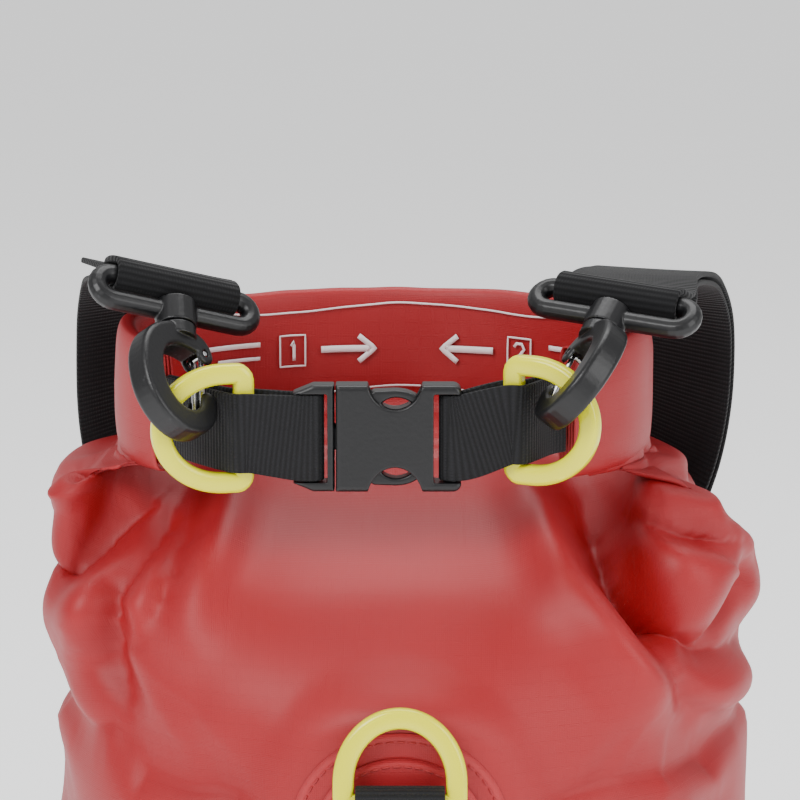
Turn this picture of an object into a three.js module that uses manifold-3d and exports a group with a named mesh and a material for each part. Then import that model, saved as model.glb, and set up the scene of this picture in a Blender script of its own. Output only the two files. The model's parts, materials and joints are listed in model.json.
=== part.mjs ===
// A roll-top dry bag, standing upright and closed. Millimetres, +Z up, the bag's front faces -Y.
// The origin is the middle of the base, on the surface that the bag stands on.
import * as THREE from "three";
import { mergeVertices } from "three/addons/utils/BufferGeometryUtils.js";
import Module from "manifold-3d";

const wasm = await Module();
wasm.setup();

// ---------------------------------------------------------------- driving dimensions
const GAP = 0.35; // between pieces that touch on the real bag

const BODY_RADIUS = 108;
const BODY_WALL = 1.5;
const SHOULDER_Z = 250; // the straight tube ends here and the shoulders start
const ROLL_BOTTOM_Z = 315;
// The shoulders, from the tube's top to the neck: how far each level stands out and up at the sides.
const SHOULDER_OUT = [5, 8, 12.5, 15, 15, 15, 14, 8, 0];
const SHOULDER_UP = [0, 0, 0, 1, 2.5, 4, 3, 0.5, 0];
const SHOULDER_CLIMB = [0, 0.14, 0.28, 0.42, 0.55, 0.68, 0.8, 0.9, 1];
const NECK_THICKNESS = 8;

const BASE_THICKNESS = 2;
const BASE_BAND_BOTTOM = 1; // clear of the ground
const BASE_BAND_TOP = 16;
const BAND_THICKNESS = 0.9;
const SEAM_WIDTH = 22; // the lapped seam down the back
const SEAM_BOTTOM_Z = 24;

// The rolled mouth is bent into a C, seen from above, that is open at the front.
const LOOP_HALF_WIDTH = 78;
const LOOP_HALF_DEPTH = 66;
const LOOP_X = -5;
const LOOP_Y = -6.6;
const LOOP_END_LEFT = 34; // degrees in front of the side, where each end of the roll stops
const LOOP_END_RIGHT = 47;
const ROLL_HEIGHT = 40;
const ROLL_THICKNESS = 9;
const STIFFENER_HEIGHT = 29;
const STIFFENER_THICKNESS = 2.2;

// The closing strap, in front of the roll's ends.
const STRAP_Z = 330;
const STRAP_Y = -71;
const WEBBING_WIDTH = 25;
const WEBBING_THICKNESS = 1.6;
const SEWN_LENGTH = 5; // where a loop's two ends are stitched together

const D_BAR = 6; // width of a D-ring's bar in its plane
const D_THICKNESS = 5;
const D_DEPTH = 24; // from the straight bar's centre line to the bow's centre line
const D_ARM = 6; // straight length of each arm
const D_LEFT = { x: -44.8, lift: 0.9, swing: 15.1, tilt: -0.3 }; // swing: degrees forward of the closing line
const D_RIGHT = { x: 32.7, lift: 0.9, swing: 28.6, tilt: 0.4 };
// The webbing rises and narrows a little between the buckle and the D-ring.
const STRAP_RISE_LEFT = 1.7;
const STRAP_RISE_RIGHT = 4.2;
const STRAP_NARROWING = 0.92;

const BUCKLE_X = -0.4;
const BUCKLE_HEIGHT = 31;
const BUCKLE_THICKNESS = 9;
const HOUSING_LEFT = -18; // the housing's ends, from BUCKLE_X
const HOUSING_BODY_RIGHT = 10;
const HOUSING_RIGHT = 18;
const HOUSING_WALL = 1.25;
const TONGUE_LEFT = -30.4;
const TONGUE_BAR_X = -25; // the webbing bar, from BUCKLE_X
const HOUSING_BAR_X = 15.2;
const BAR_RADIUS = 1.7;
const PRONG_PIVOT = [-18.9, 10.6]; // where the prong leaves the tongue, from BUCKLE_X and STRAP_Z

const PATCH_Z = 222;
const PATCH_RADIUS = 31;
const INNER_PATCH_RADIUS = 24;
const PATCH_THICKNESS = 0.9;
const TAB_BOTTOM_Z = 198;
const D_FRONT_Z = 234.8;
const D_FRONT_LEAN = 8; // degrees that the front ring leans back on the bag

// The two snap hooks. Each ring's frame: X along its bars, Y from the hook to the strap, Z off the bag.
const RING_SPAN = 48; // between the centre lines of the ring's two rounded ends
const RING_BARS = 9; // between the centre lines of its two long bars
const RING_BAR_RADIUS = 2.95;
const BOSS_RADIUS = 6;
const BOSS_LENGTH = 8.4;
const STEM_RADIUS = 2.4;
const HOOK_THICKNESS = 8;
const HOOK_HALF = 3.9; // half the width of the hook's section at its spine
const HOOK_END_HALF = 3.2; // and at its two ends
// The middle line of the hook's C, from the end of its upper arm to its tip, in the hook's frame.
const HOOK_LINE = [
  [7.7, -13.4], [6.4, -11.1], [2, -9.9], [-4.5, -10.4], [-9.6, -13.6], [-12.1, -18.8], [-12.2, -25.5],
  [-10, -32], [-5.4, -36.6], [0.2, -38.1], [5.2, -36.3], [7.9, -32.7], [8.4, -28.9],
];
const GATE_WIRE_RADIUS = 0.8;
const GATE_WIDTH = 3.4;
const GATE_PIVOT = [7.5, -12.9]; // in the hook's frame
const GATE_FOOT = [7.2, -30.7];
const HOOKS = {
  left: { at: [-64.8, -57.2, 363.6], yaw: 22.7, roll: 14.8, pitch: 48.6, swivel: 18.8 },
  right: { at: [60.1, -58.7, 362.2], yaw: -25.9, roll: 4.7, pitch: 35.2, swivel: 134.9 },
};

const SLING_WIDTH = 38;
const SLING_THICKNESS = 1.7;
// The right-hand leg is straight from foot to top, and the slide moves along it.
const LEG_FOOT = [74, 95, 186];
const LEG_TOP = [84.5, 84, 270];
const SLIDE_AT = 20; // the slide's centre bar, up from the leg's foot
const SLIDE_LENGTH = 24;
const SLIDE_BAR_RADIUS = 1.6;
const SLIDE_TRAVEL = 22;
const TAIL_LENGTH = 42; // the sling's sewn end, up from the slide's centre bar

// ---------------------------------------------------------------- materials
const paint = (name, color, roughness, metalness = 0) =>
  new THREE.MeshStandardMaterial({ name, color, roughness, metalness });
const TARPAULIN = paint("tarpaulin", 0xb32a30, 0.5);
const WEBBING = paint("webbing", 0x111215, 0.9);
const BLACK_PLASTIC = paint("black_plastic", 0x232427, 0.5);
const YELLOW_PLASTIC = paint("yellow_plastic", 0xe9e42c, 0.35);
const STIFFENER = paint("stiffener_plastic", 0xdddddd, 0.5);
const WIRE = paint("spring_wire", 0xb8b8ba, 0.25, 1);

// ---------------------------------------------------------------- helpers
const degrees = THREE.MathUtils.degToRad;
const vec = (x, y, z) => new THREE.Vector3(x, y, z);
const bag = new THREE.Group();

function place(name, geometry, material, parent = bag) {
  const mesh = new THREE.Mesh(geometry, material);
  mesh.name = name;
  parent.add(mesh);
  return mesh;
}

// A closed geometry as a manifold-3d solid, and back.
function solid(geometry) {
  const bare = geometry.clone();
  bare.deleteAttribute("normal");
  bare.deleteAttribute("uv");
  const merged = mergeVertices(bare, 1e-4);
  const made = new wasm.Manifold(
    new wasm.Mesh({
      numProp: 3,
      vertProperties: new Float32Array(merged.attributes.position.array),
      triVerts: new Uint32Array(merged.index.array),
    }),
  );
  return made;
}

function geometryOf(made) {
  const mesh = made.getMesh();
  return new THREE.BufferGeometry()
    .setAttribute("position", new THREE.BufferAttribute(mesh.vertProperties, 3))
    .setIndex(new THREE.BufferAttribute(mesh.triVerts, 1));
}

const join = (...geometries) =>
  geometryOf(geometries.map(solid).reduce((a, b) => a.add(b)));
const cut = (geometry, ...tools) =>
  geometryOf(tools.map(solid).reduce((a, b) => a.subtract(b), solid(geometry)));
const common = (a, b) => geometryOf(solid(a).intersect(solid(b)));

// A closed skin through loops of equal length. With ring, the last loop joins the first.
function loft(loops, ring = false) {
  const count = loops[0].length;
  const positions = loops.flat().flatMap((p) => [p.x, p.y, p.z]);
  const index = [];
  const steps = ring ? loops.length : loops.length - 1;
  for (let i = 0; i < steps; i++) {
    const low = i * count;
    const high = ((i + 1) % loops.length) * count;
    for (let k = 0; k < count; k++) {
      const next = (k + 1) % count;
      index.push(low + k, low + next, high + next, low + k, high + next, high + k);
    }
  }
  if (!ring) {
    const end = (loops.length - 1) * count;
    for (let k = 1; k < count - 1; k++) {
      index.push(0, k + 1, k, end, end + k, end + k + 1);
    }
  }
  return faceOut(positions, index);
}

// Turns every face round if the skin is inside out.
function faceOut(positions, index) {
  const at = (i) => vec(positions[3 * i], positions[3 * i + 1], positions[3 * i + 2]);
  let volume = 0;
  for (let i = 0; i < index.length; i += 3) {
    volume += at(index[i]).dot(at(index[i + 1]).cross(at(index[i + 2])));
  }
  const order = volume < 0 ? [...index].reverse() : index;
  return new THREE.BufferGeometry()
    .setAttribute("position", new THREE.Float32BufferAttribute(positions, 3))
    .setIndex(order);
}

// The points of an outline, without any that lie on the one before.
function cleanPoints(outline, curve) {
  const points = Array.isArray(outline) ? outline : outline.getPoints(curve);
  return points.filter((p, i) => p.distanceTo(points.at(i - 1)) > 1e-3);
}

// A flat outline with holes, extruded by depth centred on its plane, with rounded edges.
function slab(outline, depth, { holes = [], bevel = 0, curve = 12 } = {}) {
  const shape = new THREE.Shape(cleanPoints(outline, curve));
  shape.holes.push(...holes.map((hole) => new THREE.Path(cleanPoints(hole, curve))));
  const geometry = new THREE.ExtrudeGeometry(shape, {
    depth: depth - 2 * bevel,
    bevelEnabled: bevel > 0,
    bevelSize: bevel,
    bevelThickness: bevel,
    bevelOffset: -bevel,
    bevelSegments: 2,
    steps: 1,
  });
  return geometry.translate(0, 0, bevel - depth / 2);
}

const box = (x, y, z, at = [0, 0, 0]) => new THREE.BoxGeometry(x, y, z).translate(...at);

// Cylinders along the three axes.
const rodZ = (radius, length, sides = 32) =>
  new THREE.CylinderGeometry(radius, radius, length, sides).rotateX(Math.PI / 2);
const rodY = (radius, length, sides = 32) =>
  new THREE.CylinderGeometry(radius, radius, length, sides);

// A round bar along a curve.
function wire(curve, radius, steps, sides = 8) {
  const section = new THREE.Shape();
  section.absarc(0, 0, radius, 0, 2 * Math.PI);
  return new THREE.ExtrudeGeometry(section, {
    extrudePath: curve,
    steps,
    curveSegments: sides / 2,
    bevelEnabled: false,
  });
}

// Points of a flat line moved sideways by an offset. The line is a list of THREE.Vector2.
function offsetLine(points, offset, closed = false) {
  const last = points.length - 1;
  return points.map((p, i) => {
    const before = closed ? points.at(i - 1) : points[Math.max(i - 1, 0)];
    const after = closed ? points[(i + 1) % points.length] : points[Math.min(i + 1, last)];
    const run = after.clone().sub(before).normalize();
    return new THREE.Vector2(p.x - run.y * offset, p.y + run.x * offset);
  });
}

// A band of even thickness along an open flat line.
function band(points, thickness) {
  const outer = offsetLine(points, thickness / 2);
  const inner = offsetLine(points, -thickness / 2).reverse();
  return [...outer, ...inner];
}

// An outline about an open line, with round ends. halves holds the half width at each point.
function fatLine(points, halves) {
  const side = (sign) =>
    points.map((p, i) => offsetLine(points, sign * halves[i])[i]);
  const cap = (centre, run, half) =>
    [60, 30, 0, -30, -60].map((a) =>
      run.clone().rotateAround(new THREE.Vector2(), degrees(a)).multiplyScalar(half).add(centre),
    );
  const start = points[0].clone().sub(points[1]).normalize();
  const end = points.at(-1).clone().sub(points.at(-2)).normalize();
  return [
    ...side(1),
    ...cap(points.at(-1), end, halves.at(-1)),
    ...side(-1).reverse(),
    ...cap(points[0], start, halves[0]),
  ];
}

// ---------------------------------------------------------------- the C of the rolled mouth
const loopCurve = new THREE.EllipseCurve(
  LOOP_X,
  LOOP_Y,
  LOOP_HALF_WIDTH,
  LOOP_HALF_DEPTH,
  Math.PI + degrees(LOOP_END_LEFT),
  -degrees(LOOP_END_RIGHT),
  true,
);
const loopPoints = loopCurve.getSpacedPoints(44);

// The point of the C at share 0 (left end) to 1 (right end), moved outwards by offset.
function loopPoint(share, offset = 0) {
  const p = loopCurve.getPointAt(THREE.MathUtils.clamp(share, 0, 1));
  const run = loopCurve.getTangentAt(THREE.MathUtils.clamp(share, 0, 1));
  return new THREE.Vector2(p.x - run.y * offset, p.y + run.x * offset);
}

// ---------------------------------------------------------------- bag body
// One level of the bag: turn goes once round from the left side, by the back, to the left side again.
// climb is 0 where the shoulders start and 1 at the neck.
function bodyPoint(turn, climb, inset) {
  const angle = Math.PI - 2 * Math.PI * turn;
  const radius = BODY_RADIUS - inset;
  const rise = (climb * Math.PI) / 2;
  const blend = 1 - Math.cos(rise);
  const back = turn < 0.5;
  const share = back ? 2 * turn : 2 - 2 * turn;
  const fade = Math.sqrt(Math.max(0, 1 - (2 * share - 1) ** 8));
  const side = (back ? 1 : -1) * (NECK_THICKNESS / 2 - inset) * fade;
  const neck = loopPoint(share, side);
  const edge = Math.cos(angle) ** 2;
  const level = SHOULDER_CLIMB.indexOf(climb);
  const x = radius * Math.cos(angle) * (1 - blend) + neck.x * blend;
  const y = radius * Math.sin(angle) * (1 - blend) + neck.y * blend;
  const height = ROLL_BOTTOM_Z - GAP - SHOULDER_Z;
  return vec(
    x + Math.sign(Math.cos(angle)) * SHOULDER_OUT[level] * edge,
    y,
    SHOULDER_Z + height * Math.sin(rise) + SHOULDER_UP[level] * edge - (climb < 1 ? inset * blend : 0),
  );
}

function bodyLoops(inset) {
  const around = 56;
  const level = (climb) =>
    Array.from({ length: around }, (_, k) => bodyPoint(k / around, climb, inset));
  const circle = (z) =>
    Array.from({ length: around }, (_, k) => {
      const angle = Math.PI - (2 * Math.PI * k) / around;
      const radius = BODY_RADIUS - inset;
      return vec(radius * Math.cos(angle), radius * Math.sin(angle), z);
    });
  return [...[0, 0.4, 0.76].map((share) => circle(share * SHOULDER_Z)), ...SHOULDER_CLIMB.map(level)];
}

place(
  "bag_shell",
  loft([...bodyLoops(0), ...bodyLoops(BODY_WALL).reverse()], true),
  TARPAULIN,
);

const baseRadius = BODY_RADIUS - BODY_WALL - GAP;
place(
  "base_disc",
  rodZ(baseRadius, BASE_THICKNESS, 56).translate(0, 0, BASE_THICKNESS / 2),
  TARPAULIN,
);

// A thin layer on the outside of the tube, between two heights.
function sleeve(thickness, bottom, top, sides = 112) {
  const inner = BODY_RADIUS + GAP;
  const height = top - bottom;
  const middle = (top + bottom) / 2;
  const outside = rodZ(inner + thickness, height, sides).translate(0, 0, middle);
  return cut(outside, rodZ(inner, height + 2, sides).translate(0, 0, middle));
}

place("base_band", sleeve(BAND_THICKNESS, BASE_BAND_BOTTOM, BASE_BAND_TOP, 56), TARPAULIN);

const seamTop = SHOULDER_Z - 6;
place(
  "back_seam",
  common(
    sleeve(BAND_THICKNESS, SEAM_BOTTOM_Z, seamTop),
    box(SEAM_WIDTH, 40, seamTop, [0, BODY_RADIUS, seamTop / 2]),
  ),
  TARPAULIN,
);

// ---------------------------------------------------------------- rolled mouth
const rollMiddleZ = ROLL_BOTTOM_Z + ROLL_HEIGHT / 2;
const rollOutside = slab(band(loopPoints, ROLL_THICKNESS), ROLL_HEIGHT, { bevel: 2.5 });
const slot = slab(band(loopPoints, STIFFENER_THICKNESS + 2 * GAP), STIFFENER_HEIGHT + 2 * GAP);
// The slot's ends are carried past the roll's ends, so that the roll is open there.
const slotEnds = [loopPoints[0], loopPoints.at(-1)].map((end) =>
  box(3, STIFFENER_THICKNESS + 2 * GAP, STIFFENER_HEIGHT + 2 * GAP)
    .rotateZ(end === loopPoints[0] ? -degrees(38) : degrees(38))
    .translate(end.x, end.y, 0),
);
place("rolled_mouth", cut(rollOutside, slot, ...slotEnds), TARPAULIN).position.z = rollMiddleZ;

place(
  "stiffener",
  slab(band(loopPoints.slice(1, -1), STIFFENER_THICKNESS), STIFFENER_HEIGHT),
  STIFFENER,
).position.z = rollMiddleZ;

// ---------------------------------------------------------------- closing strap
// A loop of webbing from the roll's end, round the D-ring's bar and the buckle's bar, and back.
// toBuckle is +1 on the left and -1 on the right.
function strapLoop(share, ringX, barX, toBuckle, rise) {
  const half = WEBBING_THICKNESS / 2;
  const end = loopPoint(share);
  const run = loopCurve.getTangentAt(share).multiplyScalar(-toBuckle);
  const tail = end.clone().addScaledVector(run, 2 * GAP + half);
  const sew = half + 0.3;
  const across = new THREE.Vector2(-run.y, run.x).multiplyScalar(toBuckle);
  const ringOut = D_THICKNESS / 2 + half + 1.05;
  const barOut = BAR_RADIUS + half + 1.2 * GAP;
  const aroundBar = [-90, -67, -45, -22, 0, 22, 45, 67, 90].map((a) =>
    new THREE.Vector2(
      barX + toBuckle * barOut * Math.cos(degrees(a)),
      STRAP_Y + barOut * Math.sin(degrees(a)),
    ),
  );
  const line = [
    tail.clone().addScaledVector(across, -sew),
    tail.clone().addScaledVector(run, 5).addScaledVector(across, -sew - 0.4),
    new THREE.Vector2(ringX - toBuckle * 2, STRAP_Y - ringOut),
    new THREE.Vector2(ringX + toBuckle * 2, STRAP_Y - ringOut),
    new THREE.Vector2(barX - toBuckle * 3.5, STRAP_Y - barOut - 0.3),
    ...aroundBar,
    new THREE.Vector2(barX - toBuckle * 3.5, STRAP_Y + barOut + 0.3),
    new THREE.Vector2(ringX + toBuckle * 2, STRAP_Y + ringOut),
    new THREE.Vector2(ringX - toBuckle * 2, STRAP_Y + ringOut),
    tail.clone().addScaledVector(run, 5).addScaledVector(across, sew + 0.4),
    tail.clone().addScaledVector(across, sew),
  ];
  const curve = new THREE.CatmullRomCurve3(
    line.map((p) => vec(p.x, p.y, 0)),
    false,
    "centripetal",
  );
  const points = curve.getSpacedPoints(110).map((p) => new THREE.Vector2(p.x, p.y));
  const outer = offsetLine(points, half);
  const inner = offsetLine(points, -half);
  // The rise and the narrowing start past the buckle and are finished before the D-ring's bar.
  const near = ringX + toBuckle * (D_BAR / 2 + 0.5);
  const far = barX - toBuckle * 2.2;
  const sections = points.map((p, i) => {
    const part = THREE.MathUtils.clamp((far - p.x) / (far - near), 0, 1);
    const reach = (WEBBING_WIDTH / 2) * THREE.MathUtils.lerp(1, STRAP_NARROWING, part);
    return [[outer, 1], [outer, -1], [inner, -1], [inner, 1]].map(([edge, side]) =>
      vec(edge[i].x, edge[i].y, rise * part + side * reach),
    );
  });
  // The stitches that close the loop press its two ends together there.
  const sewn = box(SEWN_LENGTH, 2 * sew, WEBBING_WIDTH * STRAP_NARROWING)
    .rotateZ(run.angle())
    .translate(tail.x + (run.x * SEWN_LENGTH) / 2, tail.y + (run.y * SEWN_LENGTH) / 2, rise);
  return join(loft(sections), sewn);
}

const leftBarX = BUCKLE_X + TONGUE_BAR_X;
const rightBarX = BUCKLE_X + HOUSING_BAR_X;
for (const [name, share, ring, barX, toBuckle, rise] of [
  ["webbing_left", 0, D_LEFT, leftBarX, 1, STRAP_RISE_LEFT],
  ["webbing_right", 1, D_RIGHT, rightBarX, -1, STRAP_RISE_RIGHT],
]) {
  place(name, strapLoop(share, ring.x, barX, toBuckle, rise), WEBBING).position.z = STRAP_Z;
}

// ---------------------------------------------------------------- D-rings
// In its own plane: the straight bar lies on Y, and the bow is on the +X side.
function dRing() {
  const inside = WEBBING_WIDTH / 2 + 0.3;
  const half = inside + D_BAR;
  const bar = D_BAR / 2;
  const outline = new THREE.Shape();
  outline.moveTo(-bar + 4, -half);
  outline.lineTo(D_ARM, -half);
  outline.absellipse(D_ARM, 0, D_DEPTH - D_ARM + bar, half, -Math.PI / 2, Math.PI / 2);
  outline.lineTo(-bar + 4, half);
  outline.absarc(-bar + 4, half - 4, 4, Math.PI / 2, Math.PI);
  outline.lineTo(-bar, -half + 4);
  outline.absarc(-bar + 4, -half + 4, 4, Math.PI, 1.5 * Math.PI);
  const hole = new THREE.Path();
  hole.moveTo(bar, -inside);
  hole.lineTo(D_ARM, -inside);
  hole.absellipse(D_ARM, 0, D_DEPTH - D_ARM - bar, inside, -Math.PI / 2, Math.PI / 2);
  hole.lineTo(bar, inside);
  hole.closePath();
  return slab(outline, D_THICKNESS, { holes: [hole], bevel: 1.5, curve: 14 });
}

// Stands a D-ring up with its bar upright, the bow to one side (-1 left, 1 right) and swung forwards.
function standRing(geometry, toBow, { swing, tilt }) {
  geometry.rotateX(Math.PI / 2);
  if (toBow < 0) geometry.rotateZ(Math.PI);
  return geometry.rotateZ(-toBow * degrees(swing)).rotateY(-degrees(tilt));
}

for (const [name, ring, toBow, rise] of [
  ["d_ring_left", D_LEFT, -1, STRAP_RISE_LEFT],
  ["d_ring_right", D_RIGHT, 1, STRAP_RISE_RIGHT],
]) {
  place(name, standRing(dRing(), toBow, ring), YELLOW_PLASTIC).position.set(
    ring.x,
    STRAP_Y,
    STRAP_Z + rise + ring.lift,
  );
}

// ---------------------------------------------------------------- side-release buckle
const buckle = new THREE.Group();
buckle.position.set(BUCKLE_X, STRAP_Y, STRAP_Z);
bag.add(buckle);
// Buckle outlines are drawn in X and Z, so each slab is stood up.
const stand = (geometry) => geometry.rotateX(Math.PI / 2);
const halfBuckle = BUCKLE_HEIGHT / 2;
const channelHalf = halfBuckle - HOUSING_WALL;
const channelDepth = BUCKLE_THICKNESS - 2 * HOUSING_WALL;

function housing() {
  const outer = new THREE.Shape();
  const r = 2.5;
  outer.moveTo(HOUSING_LEFT, -halfBuckle);
  outer.lineTo(HOUSING_RIGHT - r, -halfBuckle);
  outer.absarc(HOUSING_RIGHT - r, -halfBuckle + r, r, -Math.PI / 2, 0);
  outer.lineTo(HOUSING_RIGHT, halfBuckle - r);
  outer.absarc(HOUSING_RIGHT - r, halfBuckle - r, r, 0, Math.PI / 2);
  outer.lineTo(HOUSING_LEFT, halfBuckle);
  outer.closePath();
  const body = stand(slab(outer, BUCKLE_THICKNESS, { bevel: 1.2 }));
  const notch = (sign) =>
    rodY(9.6, BUCKLE_THICKNESS + 2, 40).scale(0.84, 1, 1).translate(-1, 0, sign * (halfBuckle + 2.4));
  const channelLength = HOUSING_BODY_RIGHT - 2.5 - HOUSING_LEFT + 1;
  const channel = box(channelLength, channelDepth, 2 * channelHalf, [
    HOUSING_LEFT - 1 + channelLength / 2,
    0,
    0,
  ]);
  // The far end is open round the webbing bar, and only the two arms and the bar are left there.
  const armInside = WEBBING_WIDTH / 2 + 0.4;
  const tailLength = HOUSING_RIGHT - HOUSING_BODY_RIGHT + 1;
  const tail = box(tailLength, BUCKLE_THICKNESS + 2, 2 * armInside, [
    HOUSING_BODY_RIGHT + tailLength / 2,
    0,
    0,
  ]);
  const bar = rodZ(BAR_RADIUS, 2 * armInside + 2, 16).translate(HOUSING_BAR_X, 0, 0);
  return join(cut(body, notch(1), notch(-1), channel, tail), bar);
}

function tongue() {
  const inside = WEBBING_WIDTH / 2 + 0.4;
  const outer = new THREE.Shape();
  const left = TONGUE_LEFT;
  const right = HOUSING_LEFT - GAP;
  outer.moveTo(left, -halfBuckle + 2.5);
  outer.lineTo(left + 6, -halfBuckle);
  outer.lineTo(right, -halfBuckle);
  outer.lineTo(right, halfBuckle);
  outer.lineTo(left + 6, halfBuckle);
  outer.lineTo(left, halfBuckle - 2.5);
  outer.closePath();
  const frame = stand(slab(outer, BUCKLE_THICKNESS - 1.5, { bevel: 1 }));
  const open = right - 2 - (left - 1);
  const window = box(open, BUCKLE_THICKNESS, 2 * inside, [left - 1 + open / 2, 0, 0]);
  const bar = rodZ(BAR_RADIUS, 2 * inside + 2, 16).translate(TONGUE_BAR_X, 0, 0);
  const guideLength = 22;
  const guide = box(guideLength, channelDepth - 2 * GAP, 6.4, [right - 1 + guideLength / 2, 0, 0]);
  return join(cut(frame, window), bar, guide);
}

// The springy arm that is pressed to open the buckle: a stem and an eye-shaped loop at the notch.
function prong(sign) {
  const [rootX, rootZ] = PRONG_PIVOT;
  const top = channelHalf - GAP;
  const outline = new THREE.Shape();
  outline.moveTo(rootX + GAP + 1, rootZ - 1.6);
  outline.lineTo(-9.5, rootZ - 2);
  outline.quadraticCurveTo(-5, 5.4, -1, 5.4);
  outline.quadraticCurveTo(4, 5.4, 7, 10.4);
  outline.quadraticCurveTo(4.5, top, -1, top);
  outline.lineTo(-7, top - 0.2);
  outline.lineTo(-9.5, rootZ + 1.7);
  outline.lineTo(rootX + GAP + 1, rootZ + 1.3);
  outline.closePath();
  const eye = new THREE.Path();
  eye.moveTo(-5, 10);
  eye.quadraticCurveTo(-1, 6.6, 3.8, 10.2);
  eye.quadraticCurveTo(-1, 13.4, -5, 10);
  const made = stand(slab(outline, channelDepth - 2 * GAP, { holes: [eye], bevel: 0.6, curve: 6 }));
  // Standing a slab up turns its Y to Z upside down for neither side: +Y becomes +Z.
  return sign > 0 ? made : made.rotateX(Math.PI);
}

place("buckle_housing", housing(), BLACK_PLASTIC, buckle);
place("buckle_tongue", tongue(), BLACK_PLASTIC, buckle);
place("prong_upper", prong(1), BLACK_PLASTIC, buckle);
place("prong_lower", prong(-1), BLACK_PLASTIC, buckle);

// ---------------------------------------------------------------- front patch, tab and ring
// A round patch of the tube's own curve, lying on what is beneath it.
function patch(radius, thickness, lift) {
  const inner = BODY_RADIUS + lift;
  const outside = rodZ(inner + thickness, 2 * radius + 2, 160);
  const layer = cut(outside, rodZ(inner, 2 * radius + 4, 160));
  const stamp = rodY(radius, 60, 48).translate(0, -BODY_RADIUS, 0);
  return common(layer, stamp).translate(0, 0, PATCH_Z);
}

place("front_patch", patch(PATCH_RADIUS, PATCH_THICKNESS, GAP), TARPAULIN);
const innerLift = PATCH_THICKNESS + 2 * GAP;
place("front_patch_inner", patch(INNER_PATCH_RADIUS, PATCH_THICKNESS, innerLift), TARPAULIN);

const tabBackY = -(BODY_RADIUS + 2 * PATCH_THICKNESS + 4 * GAP);
const frontBarY = tabBackY - WEBBING_THICKNESS - 1.5 * GAP - D_BAR / 2;

// Webbing folded round the front ring's bar, both layers sewn down on the patch. Drawn in Y and Z.
function frontTab() {
  const half = WEBBING_THICKNESS / 2;
  const backY = tabBackY - half;
  const frontY = backY - WEBBING_THICKNESS - 2 * GAP;
  const out = D_BAR / 2 + 1.5 * GAP + half; // round the bar, so that the ring can turn in the fold
  const line = [
    [backY, TAB_BOTTOM_Z],
    [backY, D_FRONT_Z - 12],
    ...[-30, 0, 30, 60, 90, 120, 150, 180, 210].map((a) => [
      frontBarY + out * Math.cos(degrees(a)),
      D_FRONT_Z + out * Math.sin(degrees(a)),
    ]),
    [frontY - 1.6, D_FRONT_Z - 7],
    [frontY - 0.1, D_FRONT_Z - 14],
    [frontY, D_FRONT_Z - 20],
    [frontY, TAB_BOTTOM_Z],
  ].map(([y, z]) => vec(y, z, 0));
  const curve = new THREE.CatmullRomCurve3(line, false, "centripetal");
  const points = curve.getSpacedPoints(50).map((p) => new THREE.Vector2(p.x, p.y));
  const upright = slab(band(points, WEBBING_THICKNESS), WEBBING_WIDTH);
  // From drawing axes (Y, Z, width) to the bag's (width along X).
  const axes = new THREE.Matrix4().makeBasis(vec(0, 1, 0), vec(0, 0, 1), vec(1, 0, 0));
  return upright.applyMatrix4(axes);
}
place("front_tab", frontTab(), WEBBING);

const frontRing = dRing().rotateZ(Math.PI / 2).rotateX(Math.PI / 2 - degrees(D_FRONT_LEAN));
place("d_ring_front", frontRing, YELLOW_PLASTIC).position.set(0, frontBarY, D_FRONT_Z);

// ---------------------------------------------------------------- snap hooks
const BOSS_TOP = RING_BAR_RADIUS + 0.05;

// The long ring that holds the sling, with the boss that the hook turns in.
function slingRing() {
  const half = (RING_SPAN - RING_BARS) / 2;
  const reach = RING_BARS / 2;
  const path = new THREE.CurvePath();
  path.add(new THREE.LineCurve3(vec(-half, 0, 0), vec(half, 0, 0)));
  const turn = (x, from) =>
    new THREE.CatmullRomCurve3(
      Array.from({ length: 9 }, (_, i) => {
        const angle = from + (i / 8) * Math.PI;
        return vec(x + reach * Math.cos(angle), reach + reach * Math.sin(angle), 0);
      }),
    );
  path.add(turn(half, -Math.PI / 2));
  path.add(new THREE.LineCurve3(vec(half, RING_BARS, 0), vec(-half, RING_BARS, 0)));
  path.add(turn(-half, Math.PI / 2));
  const points = [];
  for (const part of path.curves) {
    const steps = part.isLineCurve3 ? 2 : 10;
    for (let i = 0; i < steps; i++) points.push(part.getPointAt(i / steps));
  }
  const sides = 12;
  const loops = points.map((p, i) => {
    const run = points[(i + 1) % points.length].clone().sub(points.at(i - 1)).normalize();
    const across = vec(-run.y, run.x, 0);
    return Array.from({ length: sides }, (_, k) => {
      const angle = (2 * Math.PI * k) / sides;
      return p
        .clone()
        .addScaledVector(across, RING_BAR_RADIUS * Math.cos(angle))
        .add(vec(0, 0, RING_BAR_RADIUS * Math.sin(angle)));
    });
  });
  const ring = loft(loops, true);
  const boss = rodY(BOSS_RADIUS, BOSS_LENGTH, 24).translate(0, BOSS_TOP - BOSS_LENGTH / 2, 0);
  const bore = rodY(STEM_RADIUS + GAP, 20, 20).translate(0, BOSS_TOP - 10, 0);
  const seat = rodY(STEM_RADIUS + 1.4 + GAP, 2.2 + 2 * GAP, 20).translate(
    0,
    BOSS_TOP - 1.1 - GAP,
    0,
  );
  return cut(join(ring, boss), bore, seat);
}

const stemTop = BOSS_TOP - GAP;
const hookTop = BOSS_TOP - BOSS_LENGTH - GAP;

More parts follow.
